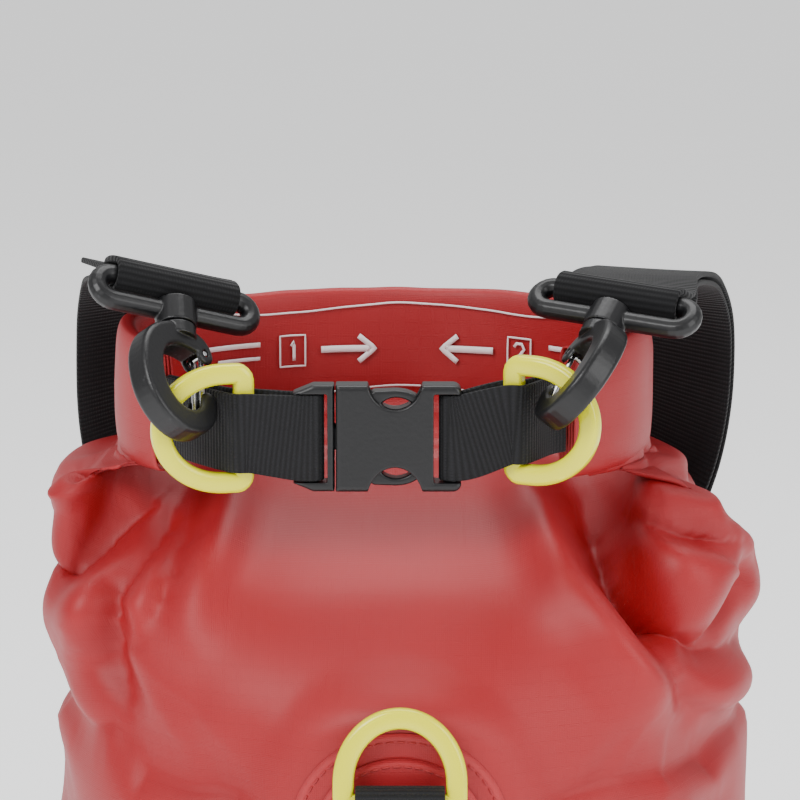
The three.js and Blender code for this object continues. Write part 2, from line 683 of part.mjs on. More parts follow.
// The hook: a C with its spine on -X and its mouth on +X, a flange under the boss and a headed stem.
function hook() {
  const curve = new THREE.CatmullRomCurve3(
    HOOK_LINE.map(([x, y]) => vec(x, y, 0)),
    false,
    "centripetal",
  );
  const line = curve.getSpacedPoints(40).map((p) => new THREE.Vector2(p.x, p.y));
  const halves = line.map((_, i) => {
    const end = Math.max(0, 1 - Math.min(i, line.length - 1 - i) / 9);
    return THREE.MathUtils.lerp(HOOK_HALF, HOOK_END_HALF, end);
  });
  const body = slab(fatLine(line, halves), HOOK_THICKNESS, { bevel: 1.3 });
  const flange = rodY(BOSS_RADIUS - 0.3, 4, 24).translate(0, hookTop - 2, 0);
  const stem = rodY(STEM_RADIUS, stemTop - hookTop + 3, 16).translate(
    0,
    (stemTop + hookTop - 3) / 2,
    0,
  );
  const head = rodY(STEM_RADIUS + 1.4, 2.2, 20).translate(0, stemTop - 1.1, 0);
  // Room for the gate between two cheeks in each end, and the hole for its pivot.
  const room = GATE_WIDTH + 2 * GATE_WIRE_RADIUS + 2 * GAP;
  const [pivotX, pivotY] = GATE_PIVOT;
  const [footX, footY] = GATE_FOOT;
  const armSlot = box(12, 9, room, [pivotX + 3, pivotY - 2.8, 0]);
  const edge = footX + GATE_WIRE_RADIUS + GAP;
  const tipSlot = box(12, 12, room, [edge - 6, footY + 6 - GATE_WIRE_RADIUS - 1.7 - GAP, 0]);
  const hole = rodZ(GATE_WIRE_RADIUS + GAP, HOOK_THICKNESS + 2, 16).translate(pivotX, pivotY, 0);
  return cut(join(body, flange, stem, head), armSlot, tipSlot, hole);
}

// The sprung wire gate: a hairpin from its pivot in the upper arm to a seat inside the hook's tip.
function gate() {
  const half = GATE_WIDTH / 2;
  const lead = (share, z) => vec(...GATE_PIVOT, z).lerp(vec(...GATE_FOOT, z), share);
  const turn = [60, 0, -60].map((a) =>
    lead(1, half * Math.sin(degrees(a))).add(vec(0, -half * Math.cos(degrees(a)), 0)),
  );
  const points = [
    ...[0, 0.3, 0.6, 0.9, 1].map((s) => lead(s, half)),
    ...turn,
    ...[1, 0.9, 0.6, 0.3, 0].map((s) => lead(s, -half)),
  ];
  const hairpin = wire(new THREE.CatmullRomCurve3(points, false, "centripetal"), GATE_WIRE_RADIUS, 30, 8);
  const pivot = rodZ(GATE_WIRE_RADIUS, HOOK_THICKNESS - 0.6, 12).translate(...GATE_PIVOT, 0);
  return join(hairpin, pivot);
}

const frames = {};
for (const [side, pose] of Object.entries(HOOKS)) {
  const ringFrame = new THREE.Group();
  ringFrame.position.set(...pose.at);
  ringFrame.rotation.set(degrees(pose.pitch), degrees(pose.roll), degrees(pose.yaw), "ZYX");
  bag.add(ringFrame);
  ringFrame.updateMatrixWorld(true);
  frames[side] = ringFrame.matrixWorld.clone();
  place(`sling_ring_${side}`, slingRing(), BLACK_PLASTIC, ringFrame);
  const hookFrame = new THREE.Group();
  hookFrame.rotation.y = degrees(pose.swivel);
  ringFrame.add(hookFrame);
  place(`hook_${side}`, hook(), BLACK_PLASTIC, hookFrame);
  place(`gate_${side}`, gate(), WIRE, hookFrame);
}

// ---------------------------------------------------------------- sling
// A station is a point of the webbing's middle and the direction of its width.
const station = (x, y, z, wx, wy, wz = 0) => ({
  at: vec(x, y, z),
  wide: vec(wx, wy, wz).normalize(),
});

// Evenly spread stations along a smooth run through the given ones, each with its normal as well.
function alongStrap(stations, steps) {
  const line = new THREE.CatmullRomCurve3(stations.map((s) => s.at), false, "centripetal");
  const spans = stations.length - 1;
  return Array.from({ length: steps + 1 }, (_, i) => {
    const share = i / steps;
    const run = line.getTangent(share);
    const span = Math.min(Math.floor(share * spans), spans - 1);
    const part = THREE.MathUtils.smoothstep(share * spans - span, 0, 1);
    const wide = stations[span].wide.clone().lerp(stations[span + 1].wide, part);
    wide.addScaledVector(run, -wide.dot(run)).normalize();
    return { at: line.getPoint(share), wide, thin: run.clone().cross(wide) };
  });
}

// Flat webbing through such stations.
const ribbon = (stations, width, thickness) =>
  loft(
    stations.map(({ at, wide, thin }) =>
      [[1, 1], [-1, 1], [-1, -1], [1, -1]].map(([a, b]) =>
        at
          .clone()
          .addScaledVector(wide, (a * width) / 2)
          .addScaledVector(thin, (b * thickness) / 2),
      ),
    ),
  );

// A station in a ring's frame: only Y and Z, because the webbing's width lies along the ring's X.
const inRing = (side, toward) => ([y, z]) => ({
  at: vec(0, y, z).applyMatrix4(frames[side]),
  wide: vec(toward, 0, 0).transformDirection(frames[side]),
});

// Round a ring's back bar: from under it, up between the bars, over it and away to the back.
const ROUND_BAR = [[11.5, -4.4], [7.8, -4.1], [5.4, -2.4], [4.7, 0.3], [5.8, 2.9], [9, 4.3], [12.3, 2.9], [16.5, -2.4]];
const leftEnd = [[30, -23.5], [22, -14], [15.4, -6.5]].map(inRing("left", -1));
const leftRound = ROUND_BAR.map(inRing("left", -1));
const leftLeg = [
  station(-70, -24, 367.5, -0.95, -0.12, 0.25),
  station(-77, 6, 363.5, -0.98, -0.2, 0.1),
  station(-82, 33, 359, -1, -0.3),
  station(-86, 52, 345, -1, -0.45),
  station(-88, 64, 322, -0.95, -0.5),
  station(-88, 77, 298, -0.85, -0.6),
  station(-84, 83, 268, -0.75, -0.66),
  station(-77, 87, 236, -0.72, -0.69),
  station(-70, 93, 200, -0.68, -0.73),
  station(-60, 107, 160, -0.45, -0.89),
  station(-38, 126, 121, -0.15, -1),
];
const bottom = [
  station(0, 131, 104, 0, -1),
  station(37, 127, 119, 0.15, -1),
  station(60, 111, 150, 0.45, -0.89),
];
const legFoot = vec(...LEG_FOOT);
const legUp = vec(...LEG_TOP).sub(legFoot);
const legLength = legUp.length();
legUp.normalize();
const legWide = vec(0.66, -0.75, 0);
legWide.addScaledVector(legUp, -legWide.dot(legUp)).normalize();
const legOut = legUp.clone().cross(legWide).multiplyScalar(-1);
if (legOut.dot(vec(legFoot.x, legFoot.y, 0)) < 0) legOut.negate();
// A point by the leg: up from its foot, and off its middle away from the bag.
const byLeg = (up, out = 0) => ({
  at: legFoot.clone().addScaledVector(legUp, up).addScaledVector(legOut, out),
  wide: legWide.clone(),
});
const rightLeg = [
  ...[0, 0.1, 0.38, 0.66, 0.9, 1].map((share) => byLeg(share * legLength)),
  station(90, 74, 300, 0.82, -0.6),
  station(91, 61, 325, 0.93, -0.5),
  station(89, 48, 347, 0.95, -0.45),
  station(83, 29, 361.5, 0.95, -0.3, -0.04),
  station(76, 3, 367, 0.96, -0.28),
  station(70, -24, 369.5, 0.94, -0.33),
];
const rightRound = [...ROUND_BAR].reverse().map(inRing("right", 1));
const strand = [...leftEnd, ...leftRound, ...leftLeg, ...bottom, ...rightLeg];
// The layer that returns from the right-hand ring lies against the bag, under the first one.
const layer = SLING_THICKNESS + GAP;
const firstLayer = alongStrap(strand, strand.length * 4 - 4);
const legStart = strand.length - rightLeg.length;
const returnEnd = SLIDE_AT + SLIDE_TRAVEL + 12;
const back = rightLeg.slice(6).map((_, i) => {
  const { at, wide, thin } = firstLayer[4 * (legStart + 6 + i)];
  const inward = thin.dot(vec(at.x, at.y, 0)) > 0 ? -1 : 1;
  return { at: at.clone().addScaledVector(thin, inward * (1.9 - 0.15 * i) * layer), wide };
});
const returning = [
  inRing("right", 1)([15.4, -6.9]),
  ...back.reverse(),
  byLeg(legLength, -2 * layer),
  byLeg(returnEnd, -2 * layer),
];
place(
  "sling",
  ribbon(
    alongStrap([...strand, ...rightRound, ...returning], 260),
    SLING_WIDTH,
    SLING_THICKNESS,
  ),
  WEBBING,
);

// The sling's sewn end goes round the slide's centre bar, and up under the first layer.
const barOff = -(SLING_THICKNESS / 2 + layer + GAP + SLIDE_BAR_RADIUS);
const aroundSlide = SLIDE_BAR_RADIUS + GAP + SLING_THICKNESS / 2;
const tailLine = [
  byLeg(SLIDE_AT + TAIL_LENGTH, -layer),
  byLeg(SLIDE_AT + 24, -layer),
  byLeg(SLIDE_AT + 8, -layer),
  ...[0, 45, 90, 135, 180].map((a) =>
    byLeg(
      SLIDE_AT - aroundSlide * Math.sin(degrees(a)),
      barOff + aroundSlide * Math.cos(degrees(a)),
    ),
  ),
  byLeg(SLIDE_AT + 3, barOff - aroundSlide + 0.6),
  byLeg(SLIDE_AT + 8.5, -2 * layer - 0.6),
];
place("sling_end", ribbon(alongStrap(tailLine, 56), SLING_WIDTH, SLING_THICKNESS), WEBBING);

// The slide: two rails, two outer bars in front of the webbing and the centre bar behind it.
function slide() {
  const reach = SLING_WIDTH / 2 + GAP;
  const rail = 3;
  const outerOff = SLING_THICKNESS / 2 + GAP + SLIDE_BAR_RADIUS;
  const thick = outerOff - barOff + 2 * SLIDE_BAR_RADIUS;
  const middle = (outerOff + barOff) / 2;
  const end = SLIDE_LENGTH / 2 - SLIDE_BAR_RADIUS;
  const rails = [1, -1].map((sign) =>
    slab(
      [
        [-SLIDE_LENGTH / 2, outerOff + SLIDE_BAR_RADIUS],
        [-SLIDE_LENGTH / 2, outerOff - SLIDE_BAR_RADIUS],
        [-3, middle - thick / 2],
        [3, middle - thick / 2],
        [SLIDE_LENGTH / 2, outerOff - SLIDE_BAR_RADIUS],
        [SLIDE_LENGTH / 2, outerOff + SLIDE_BAR_RADIUS],
      ].map(([x, y]) => new THREE.Vector2(x, y)),
      rail,
      { bevel: 0.6 },
    ).translate(0, 0, sign * (reach + rail / 2)),
  );
  const bar = (up, off) => rodZ(SLIDE_BAR_RADIUS, 2 * reach + 2, 16).translate(up, off, 0);
  const made = join(...rails, bar(-end, outerOff), bar(end, outerOff), bar(0, barOff));
  const axes = new THREE.Matrix4().makeBasis(legUp, legOut, legUp.clone().cross(legOut));
  const at = byLeg(SLIDE_AT).at;
  return made.applyMatrix4(axes).translate(at.x, at.y, at.z);
}
place("sling_slide", slide(), BLACK_PLASTIC);

export default bag;
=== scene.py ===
# %% [markdown]
# # A roll-top dry bag
# The bag is a tube of coated fabric. Its flat mouth is rolled and buckled into a ring, so the fabric under
# the roll has to gather in deep folds at both sides. Hard pieces keep the shape that the frame gives them;
# the soft ones are made here.

# %% Load the frame
import json
import math

import bmesh
import bpy
import numpy as np
from mathutils import Matrix, Vector, noise
from mathutils.bvhtree import BVHTree


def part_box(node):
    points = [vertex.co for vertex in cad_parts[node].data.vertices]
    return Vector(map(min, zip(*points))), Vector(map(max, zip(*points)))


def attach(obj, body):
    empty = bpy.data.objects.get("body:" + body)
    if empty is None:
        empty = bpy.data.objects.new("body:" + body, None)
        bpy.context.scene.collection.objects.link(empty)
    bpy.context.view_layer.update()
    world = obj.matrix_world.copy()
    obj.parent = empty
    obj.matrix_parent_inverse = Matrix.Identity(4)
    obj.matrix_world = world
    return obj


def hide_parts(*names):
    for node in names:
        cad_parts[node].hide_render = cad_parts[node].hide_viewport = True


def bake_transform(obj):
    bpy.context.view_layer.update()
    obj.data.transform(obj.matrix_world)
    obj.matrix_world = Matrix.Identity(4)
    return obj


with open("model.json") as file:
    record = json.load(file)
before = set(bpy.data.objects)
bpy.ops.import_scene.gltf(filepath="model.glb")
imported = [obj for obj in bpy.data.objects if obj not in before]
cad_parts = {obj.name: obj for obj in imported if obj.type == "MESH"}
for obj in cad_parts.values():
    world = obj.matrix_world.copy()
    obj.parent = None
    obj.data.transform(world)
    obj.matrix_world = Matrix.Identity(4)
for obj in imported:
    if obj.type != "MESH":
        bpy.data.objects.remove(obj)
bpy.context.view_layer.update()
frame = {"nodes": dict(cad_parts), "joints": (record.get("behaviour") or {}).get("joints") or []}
JOINTS = {joint["name"]: joint for joint in frame["joints"]}

# %% [markdown]
# ## Camera and stage
# A long lens a little above the closed mouth flattens the view, as in a product picture. The floor is a
# wide pale sheet, and three large soft lamps leave long, quiet reflections on the plastic.

# %% Camera, floor and lamps
buckle_low, buckle_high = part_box("buckle_housing")
AIM = Vector((0, -0.066, (buckle_low.z + buckle_high.z) / 2 + 0.0097))
CAMERA_DISTANCE = 0.925
CAMERA_RISE = math.radians(10.5)


def aim(thing, at, target):
    thing.location = at
    thing.rotation_euler = (Vector(target) - Vector(at)).to_track_quat("-Z", "Y").to_euler()


lens = bpy.data.cameras.new("camera")
lens.lens = 144.9
lens.sensor_width = 36
camera = bpy.data.objects.new("camera", lens)
bpy.context.scene.collection.objects.link(camera)
outwards = Vector((0, -math.cos(CAMERA_RISE), math.sin(CAMERA_RISE)))
aim(camera, AIM + CAMERA_DISTANCE * outwards, AIM)
bpy.context.scene.camera = camera


def lamp(name, at, size, watts, target=(0, 0, 0.25)):
    light = bpy.data.lights.new(name, "AREA")
    light.shape = "RECTANGLE"
    light.size, light.size_y = size
    light.energy = watts
    made = bpy.data.objects.new(name, light)
    bpy.context.scene.collection.objects.link(made)
    aim(made, at, target)


lamp("key", (-1.1, -1.5, 1.7), (1.1, 1.1), 38)
lamp("fill", (1.5, -1.3, 1.0), (1.2, 1.4), 20)
lamp("top", (0.1, 0.5, 2.0), (1.6, 1.2), 26)

world = bpy.data.worlds.new("studio")
world.use_nodes = True
world.node_tree.nodes["Background"].inputs["Color"].default_value = (1, 1, 1, 1)
world.node_tree.nodes["Background"].inputs["Strength"].default_value = 0.62
bpy.context.scene.world = world

# %% [markdown]
# ## Effects that several materials share
# Each effect is a node group that puts out a mask or a height. The weave and the ribs follow the fabric's
# own coordinates, which every soft mesh below carries in metres, so a thread keeps its size everywhere.


# %% Node groups
def group(name, inputs, outputs):
    made = bpy.data.node_groups.new(name, "ShaderNodeTree")
    for label, value in inputs.items():
        made.interface.new_socket(label, in_out="INPUT", socket_type="NodeSocketFloat").default_value = value
    for label in outputs:
        made.interface.new_socket(label, in_out="OUTPUT", socket_type="NodeSocketFloat")
    return made, made.nodes.new("NodeGroupInput"), made.nodes.new("NodeGroupOutput")


def maths(tree, operation, a, b=None):
    node = tree.nodes.new("ShaderNodeMath")
    node.operation = operation
    for socket, value in zip(node.inputs, (a, b)):
        if value is None:
            continue
        if isinstance(value, (int, float)):
            socket.default_value = value
        else:
            tree.links.new(value, socket)
    return node.outputs[0]


def fabric_axes(tree):
    uv = tree.nodes.new("ShaderNodeUVMap")
    uv.uv_map = "cloth"
    parts = tree.nodes.new("ShaderNodeSeparateXYZ")
    tree.links.new(uv.outputs[0], parts.inputs[0])
    return parts.outputs[0], parts.outputs[1]


def weave_group():
    tree, given, out = group("woven grid", {"Pitch": 0.0011, "Grid": 0.0044}, ["Height", "Mask"])
    across, along = fabric_axes(tree)
    waves = []
    for axis in (across, along):
        turn = maths(tree, "DIVIDE", maths(tree, "MULTIPLY", axis, 2 * math.pi), given.outputs["Pitch"])
        waves.append(maths(tree, "ABSOLUTE", maths(tree, "SINE", turn)))
    threads = maths(tree, "MULTIPLY", waves[0], waves[1])
    lines = []
    for axis in (across, along):
        share = maths(tree, "FRACT", maths(tree, "DIVIDE", axis, given.outputs["Grid"]))
        lines.append(maths(tree, "LESS_THAN", maths(tree, "ABSOLUTE", maths(tree, "SUBTRACT", share, 0.5)), 0.07))
    grid = maths(tree, "MAXIMUM", lines[0], lines[1])
    height = maths(tree, "ADD", maths(tree, "MULTIPLY", threads, 0.5), maths(tree, "MULTIPLY", grid, 0.5))
    tree.links.new(height, out.inputs["Height"])
    tree.links.new(grid, out.inputs["Mask"])
    return tree


def rib_group():
    tree, given, out = group("webbing ribs", {"Rib": 0.0014, "Yarn": 0.0009}, ["Height", "Mask"])
    across, along = fabric_axes(tree)
    rib = maths(tree, "SINE", maths(tree, "DIVIDE", maths(tree, "MULTIPLY", along, 2 * math.pi), given.outputs["Rib"]))
    yarn = maths(tree, "SINE", maths(tree, "DIVIDE", maths(tree, "MULTIPLY", across, 2 * math.pi), given.outputs["Yarn"]))
    ridge = maths(tree, "MULTIPLY", maths(tree, "ADD", rib, 1), 0.5)
    height = maths(tree, "MULTIPLY", ridge, maths(tree, "ADD", maths(tree, "MULTIPLY", yarn, 0.18), 0.82))
    tree.links.new(height, out.inputs["Height"])
    tree.links.new(ridge, out.inputs["Mask"])
    return tree


def grain_group():
    tree, given, out = group("fine grain", {"Scale": 900, "Broad": 26}, ["Height", "Tone"])
    place = tree.nodes.new("ShaderNodeTexCoord").outputs["Object"]
    for label, source, detail in (("Height", "Scale", 3), ("Tone", "Broad", 2)):
        cloud = tree.nodes.new("ShaderNodeTexNoise")
        cloud.inputs["Detail"].default_value = detail
        tree.links.new(place, cloud.inputs["Vector"])
        tree.links.new(given.outputs[source], cloud.inputs["Scale"])
        tree.links.new(cloud.outputs[0], out.inputs[label])
    return tree


# Painted highlight: the colour turns lighter on convex edges and fold ridges, read from pointiness.
def painted_edge_highlight_group():
    tree, given, out = group("edge wear", {"Start": 0.52, "End": 0.62}, ["Mask"])
    point = tree.nodes.new("ShaderNodeNewGeometry").outputs["Pointiness"]
    spread = tree.nodes.new("ShaderNodeMapRange")
    tree.links.new(point, spread.inputs["Value"])
    tree.links.new(given.outputs["Start"], spread.inputs["From Min"])
    tree.links.new(given.outputs["End"], spread.inputs["From Max"])
    tree.links.new(spread.outputs[0], out.inputs["Mask"])
    return tree


WEAVE, RIBS, GRAIN, EDGE_HIGHLIGHT = weave_group(), rib_group(), grain_group(), painted_edge_highlight_group()

# %% [markdown]
# ## Materials
# Every material mixes two close tones by a mask, bends its normal with a small height, and sets its plain
# numbers on the shader itself, so that they survive an export.


# %% Material maker
def finish_of(name, dark, light, mask, height, depth, roughness, spread=0.08, painted_highlight=None, **constants):
    made = bpy.data.materials.new(name)
    made.use_nodes = True
    tree = made.node_tree
    shader = tree.nodes["Principled BSDF"]
    used = {}

    def effect(tree_of, values, output):
        if tree_of.name not in used:
            node = tree.nodes.new("ShaderNodeGroup")
            node.node_tree = tree_of
            for label, value in values.items():
                node.inputs[label].default_value = value
            used[tree_of.name] = node
        return used[tree_of.name].outputs[output]

    tone = tree.nodes.new("ShaderNodeMix")
    tone.data_type = "RGBA"
    tone.inputs["A"].default_value = (*dark, 1)
    tone.inputs["B"].default_value = (*light, 1)
    tree.links.new(effect(*mask), tone.inputs["Factor"])
    colour = tone.outputs["Result"]
    # Painted highlight on convex edges and fold ridges, mixed over the tone.
    if painted_highlight:
        highlighted = tree.nodes.new("ShaderNodeMix")
        highlighted.data_type = "RGBA"
        highlighted.inputs["B"].default_value = (*painted_highlight, 1)
        tree.links.new(colour, highlighted.inputs["A"])
        tree.links.new(effect(EDGE_HIGHLIGHT, {}, "Mask"), highlighted.inputs["Factor"])
        colour = highlighted.outputs["Result"]
    tree.links.new(colour, shader.inputs["Base Color"])
    rough = maths(tree, "MULTIPLY", effect(GRAIN, {}, "Tone"), spread)
    tree.links.new(maths(tree, "ADD", rough, roughness - spread / 2), shader.inputs["Roughness"])
    bump = tree.nodes.new("ShaderNodeBump")
    bump.inputs["Strength"].default_value = 1
    bump.inputs["Distance"].default_value = depth
    tree.links.new(effect(*height), bump.inputs["Height"])
    tree.links.new(bump.outputs[0], shader.inputs["Normal"])
    for label, value in constants.items():
        shader.inputs[label.replace("_", " ")].default_value = value
    return made


# %% The bag's finishes
PLAIN = (GRAIN, {"Scale": 700, "Broad": 22})
# The lighter red on the cloth's fold ridges and edges is a painted highlight.
CLOTH = finish_of(
    "coated red cloth", (0.30, 0.006, 0.010), (0.37, 0.010, 0.014), (GRAIN, {}, "Tone"),
    (WEAVE, {}, "Height"), 0.00007, 0.5, painted_highlight=(0.42, 0.02, 0.025), Coat_Weight=0.08, Coat_Roughness=0.35,
    Specular_IOR_Level=0.4,
)
LINING = finish_of(
    "dark red lining", (0.2, 0.005, 0.008), (0.26, 0.008, 0.011), (GRAIN, {}, "Tone"),
    (WEAVE, {"Pitch": 0.0009}, "Height"), 0.00005, 0.55,
)
INK = finish_of("white print", (0.78, 0.7, 0.7), (0.9, 0.86, 0.86), (*PLAIN, "Tone"), (*PLAIN, "Height"), 0.00001, 0.5)
STRAP = finish_of(
    "ribbed webbing", (0.0025, 0.0025, 0.003), (0.010, 0.010, 0.012), (RIBS, {}, "Mask"),
    (RIBS, {}, "Height"), 0.0003, 0.75, Sheen_Weight=0.04, Sheen_Roughness=0.5, Specular_IOR_Level=0.3,
)
SLING = finish_of(
    "brushed webbing", (0.0025, 0.0025, 0.003), (0.008, 0.008, 0.009), (RIBS, {"Rib": 0.0016}, "Mask"),
    (RIBS, {"Rib": 0.0016}, "Height"), 0.00022, 0.85, Sheen_Weight=0.08, Sheen_Roughness=0.45,
    Specular_IOR_Level=0.25,
)
THREAD = finish_of("thread", (0.01, 0.01, 0.011), (0.03, 0.03, 0.032), (*PLAIN, "Tone"), (*PLAIN, "Height"), 0.00004, 0.7)
RED_THREAD = finish_of(
    "red thread", (0.3, 0.012, 0.016), (0.42, 0.02, 0.025), (*PLAIN, "Tone"), (*PLAIN, "Height"), 0.00004, 0.6,
)
# The lighter grey on the plastic's convex edges is a painted highlight.
BLACK = finish_of(
    "satin black plastic", (0.0035, 0.0035, 0.004), (0.007, 0.007, 0.008), (*PLAIN, "Tone"),
    (GRAIN, {"Scale": 1400}, "Height"), 0.00006, 0.36, painted_highlight=(0.02, 0.02, 0.022), Specular_IOR_Level=0.45,
)
# The brighter yellow on the rings' convex edges is a painted highlight.
YELLOW = finish_of(
    "glossy yellow plastic", (0.78, 0.74, 0.0), (0.86, 0.83, 0.0), (*PLAIN, "Tone"),
    (GRAIN, {"Scale": 160}, "Height"), 0.00004, 0.22, spread=0.05, painted_highlight=(0.92, 0.9, 0.02),
    Coat_Weight=0.25, Coat_Roughness=0.1,
)
STEEL = finish_of(
    "bright spring wire", (0.55, 0.55, 0.56), (0.75, 0.75, 0.76), (*PLAIN, "Tone"),
    (GRAIN, {"Scale": 2000}, "Height"), 0.00002, 0.22, Metallic=1.0,
)
FLOOR = finish_of(
    "pale floor", (0.86, 0.865, 0.87), (0.9, 0.905, 0.91), (GRAIN, {"Broad": 1.5}, "Tone"),
    (GRAIN, {"Scale": 300}, "Height"), 0.00002, 0.75, Emission_Color=(1, 1, 1, 1), Emission_Strength=0.55,
)
print("materials", len(bpy.data.materials))


# %% Mesh helpers
def add(name, points, faces, material, body=None, cad=(), uv=None, smooth=True):
    mesh = bpy.data.meshes.new(name)
    mesh.from_pydata([tuple(p) for p in points], [], faces)
    mesh.validate()
    if uv is not None:
        layer = mesh.uv_layers.new(name="cloth")
        at = np.array(uv, float)
        corner = np.zeros(len(mesh.loops), np.int32)
        mesh.loops.foreach_get("vertex_index", corner)
        layer.data.foreach_set("uv", at[corner].astype(np.float32).ravel())
    mesh.materials.append(material)
    mesh.polygons.foreach_set("use_smooth", [smooth] * len(mesh.polygons))
    made = bpy.data.objects.new(name, mesh)
    bpy.context.scene.collection.objects.link(made)
    if body:
        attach(made, body)
    if cad:
        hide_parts(*cad)
    return made


def quads(rows, columns, closed=False):
    wide = columns if closed else columns - 1
    return [
        (r * columns + c, r * columns + (c + 1) % columns, (r + 1) * columns + (c + 1) % columns, (r + 1) * columns + c)
        for r in range(rows - 1)
        for c in range(wide)
    ]


def apply_modifiers(thing):
    graph = bpy.context.evaluated_depsgraph_get()
    fresh = bpy.data.meshes.new_from_object(thing.evaluated_get(graph))
    thing.modifiers.clear()
    thing.data = fresh


floor = add("floor", [(-20, -20, 0), (20, -20, 0), (20, 20, 0), (-20, 20, 0)], [(0, 1, 2, 3)], FLOOR)

# %% [markdown]
# ## The line of the mouth
# Seen from above, the rolled mouth is an ellipse with a gap at the front. Everything at the top hangs on
# that line: the roll runs along it, and both layers of the tube end on it.

# %% The mouth's line
roll_low, roll_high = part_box("rolled_mouth")
ROLL_THICKNESS = 0.009
ROLL_BOTTOM, ROLL_TOP = roll_low.z, roll_high.z
LOOP_CENTRE = Vector(((roll_low.x + roll_high.x) / 2, -0.0066))
LOOP_HALF = Vector(((roll_high.x - roll_low.x - ROLL_THICKNESS) / 2, roll_high.y + 0.0066 - ROLL_THICKNESS / 2))
LOOP_FROM, LOOP_TO = math.radians(180 + 34), math.radians(-47)


def loop_table(steps=600):
    angles = np.linspace(LOOP_FROM, LOOP_TO, steps)
    line = np.stack([LOOP_CENTRE.x + LOOP_HALF.x * np.cos(angles), LOOP_CENTRE.y + LOOP_HALF.y * np.sin(angles)], 1)
    run = np.concatenate([[0], np.cumsum(np.linalg.norm(np.diff(line, axis=0), axis=1))])
    return line, run


LOOP_LINE, LOOP_RUN = loop_table()
LOOP_LENGTH = LOOP_RUN[-1]


def on_loop(share, off=0.0):
    """Points of the mouth's line at shares from 0 (left) to 1 (right), moved outwards by off."""
    s = np.clip(share, 0, 1) * LOOP_LENGTH
    x, y = (np.interp(s, LOOP_RUN, LOOP_LINE[:, k]) for k in (0, 1))
    step = LOOP_LENGTH / 400
    ahead, behind = (np.clip(s + d, 0, LOOP_LENGTH) for d in (step, -step))
    run = np.stack([np.interp(ahead, LOOP_RUN, LOOP_LINE[:, k]) - np.interp(behind, LOOP_RUN, LOOP_LINE[:, k]) for k in (0, 1)], -1)
    run /= np.linalg.norm(run, axis=-1, keepdims=True)
    return np.stack([x - run[..., 1] * off, y + run[..., 0] * off], -1)


print("mouth line", round(LOOP_LENGTH, 4), "m")

# %% [markdown]
# ## The bag's skin
# The cut fabric is a plain cylinder. It has to reach the middle of the closed mouth, so it is far too long
# for the short way up at both sides, and the spare length gathers there. The mesh starts on a smooth
# shoulder with shallow waves, the cylinder gives its fabric coordinates, and a cloth simulation, resting
# on the start shape cut a little larger, finds the folds.

# %% Skin: start and rest shapes
RADIUS = 0.108
SHOULDER = 0.246  # where the straight tube ends
AROUND = 216
LOWER_ROWS, UPPER_ROWS = 40, 64
SPARE_LENGTH = 0.128  # of fabric between the straight tube and the mouth
SPARE_CLOTH = 1.035  # the cloth is cut this much larger than the shape it starts from
NECK_GAP = 0.0016
SHOULDER_OUT = ([0, 0.14, 0.28, 0.42, 0.55, 0.68, 0.8, 0.9, 1], [0, 3, 8, 11, 11, 11, 9, 5, 0])


def skin_shapes():
    turn = np.arange(AROUND) / AROUND
    angle = math.pi - 2 * math.pi * turn
    back = turn < 0.5
    share = np.where(back, 2 * turn, 2 - 2 * turn)
    fade = np.sqrt(np.clip(1 - (2 * share - 1) ** 8, 0, 1))
    neck = on_loop(share, np.where(back, 1, -1) * NECK_GAP * fade)
    circle = np.stack([RADIUS * np.cos(angle), RADIUS * np.sin(angle)], 1)
    side = np.cos(angle) ** 2
    start, rest = [], []
    for level in np.linspace(0, SHOULDER, LOWER_ROWS, endpoint=False):
        row = np.column_stack([circle, np.full(AROUND, level)])
        start.append(row)
        rest.append(row)
    for climb in np.linspace(0, 1, UPPER_ROWS):
        rise = climb * math.pi / 2
        mix = 1 - math.cos(rise)
        flat = circle * (1 - mix) + neck * mix
        bulge = np.interp(climb, SHOULDER_OUT[0], SHOULDER_OUT[1]) * 0.001 * side
        waves = 0.0035 * side * math.sin(math.pi * climb) * np.sin(4.5 * math.pi * climb + 3 * np.sin(2 * angle + 0.7))
        waves += 0.0022 * math.sin(math.pi * climb) * np.sin(9 * angle + 5 * climb) * (0.25 + side)
        out = np.column_stack([np.cos(angle), np.sin(angle)]) * (bulge + waves)[:, None]
        z = SHOULDER + (ROLL_BOTTOM + 0.004 - SHOULDER) * math.sin(rise)
        start.append(np.column_stack([flat + out, np.full(AROUND, z)]))
        rest.append(np.column_stack([circle, np.full(AROUND, SHOULDER + climb * SPARE_LENGTH)]))
    return np.array(start), np.array(rest)


start, rest = skin_shapes()
skin_rows = len(start)
skin_uv = np.stack([
    np.broadcast_to(np.arange(AROUND) / AROUND * 2 * math.pi * RADIUS, (skin_rows, AROUND)),
    rest[:, :, 2],
], -1)


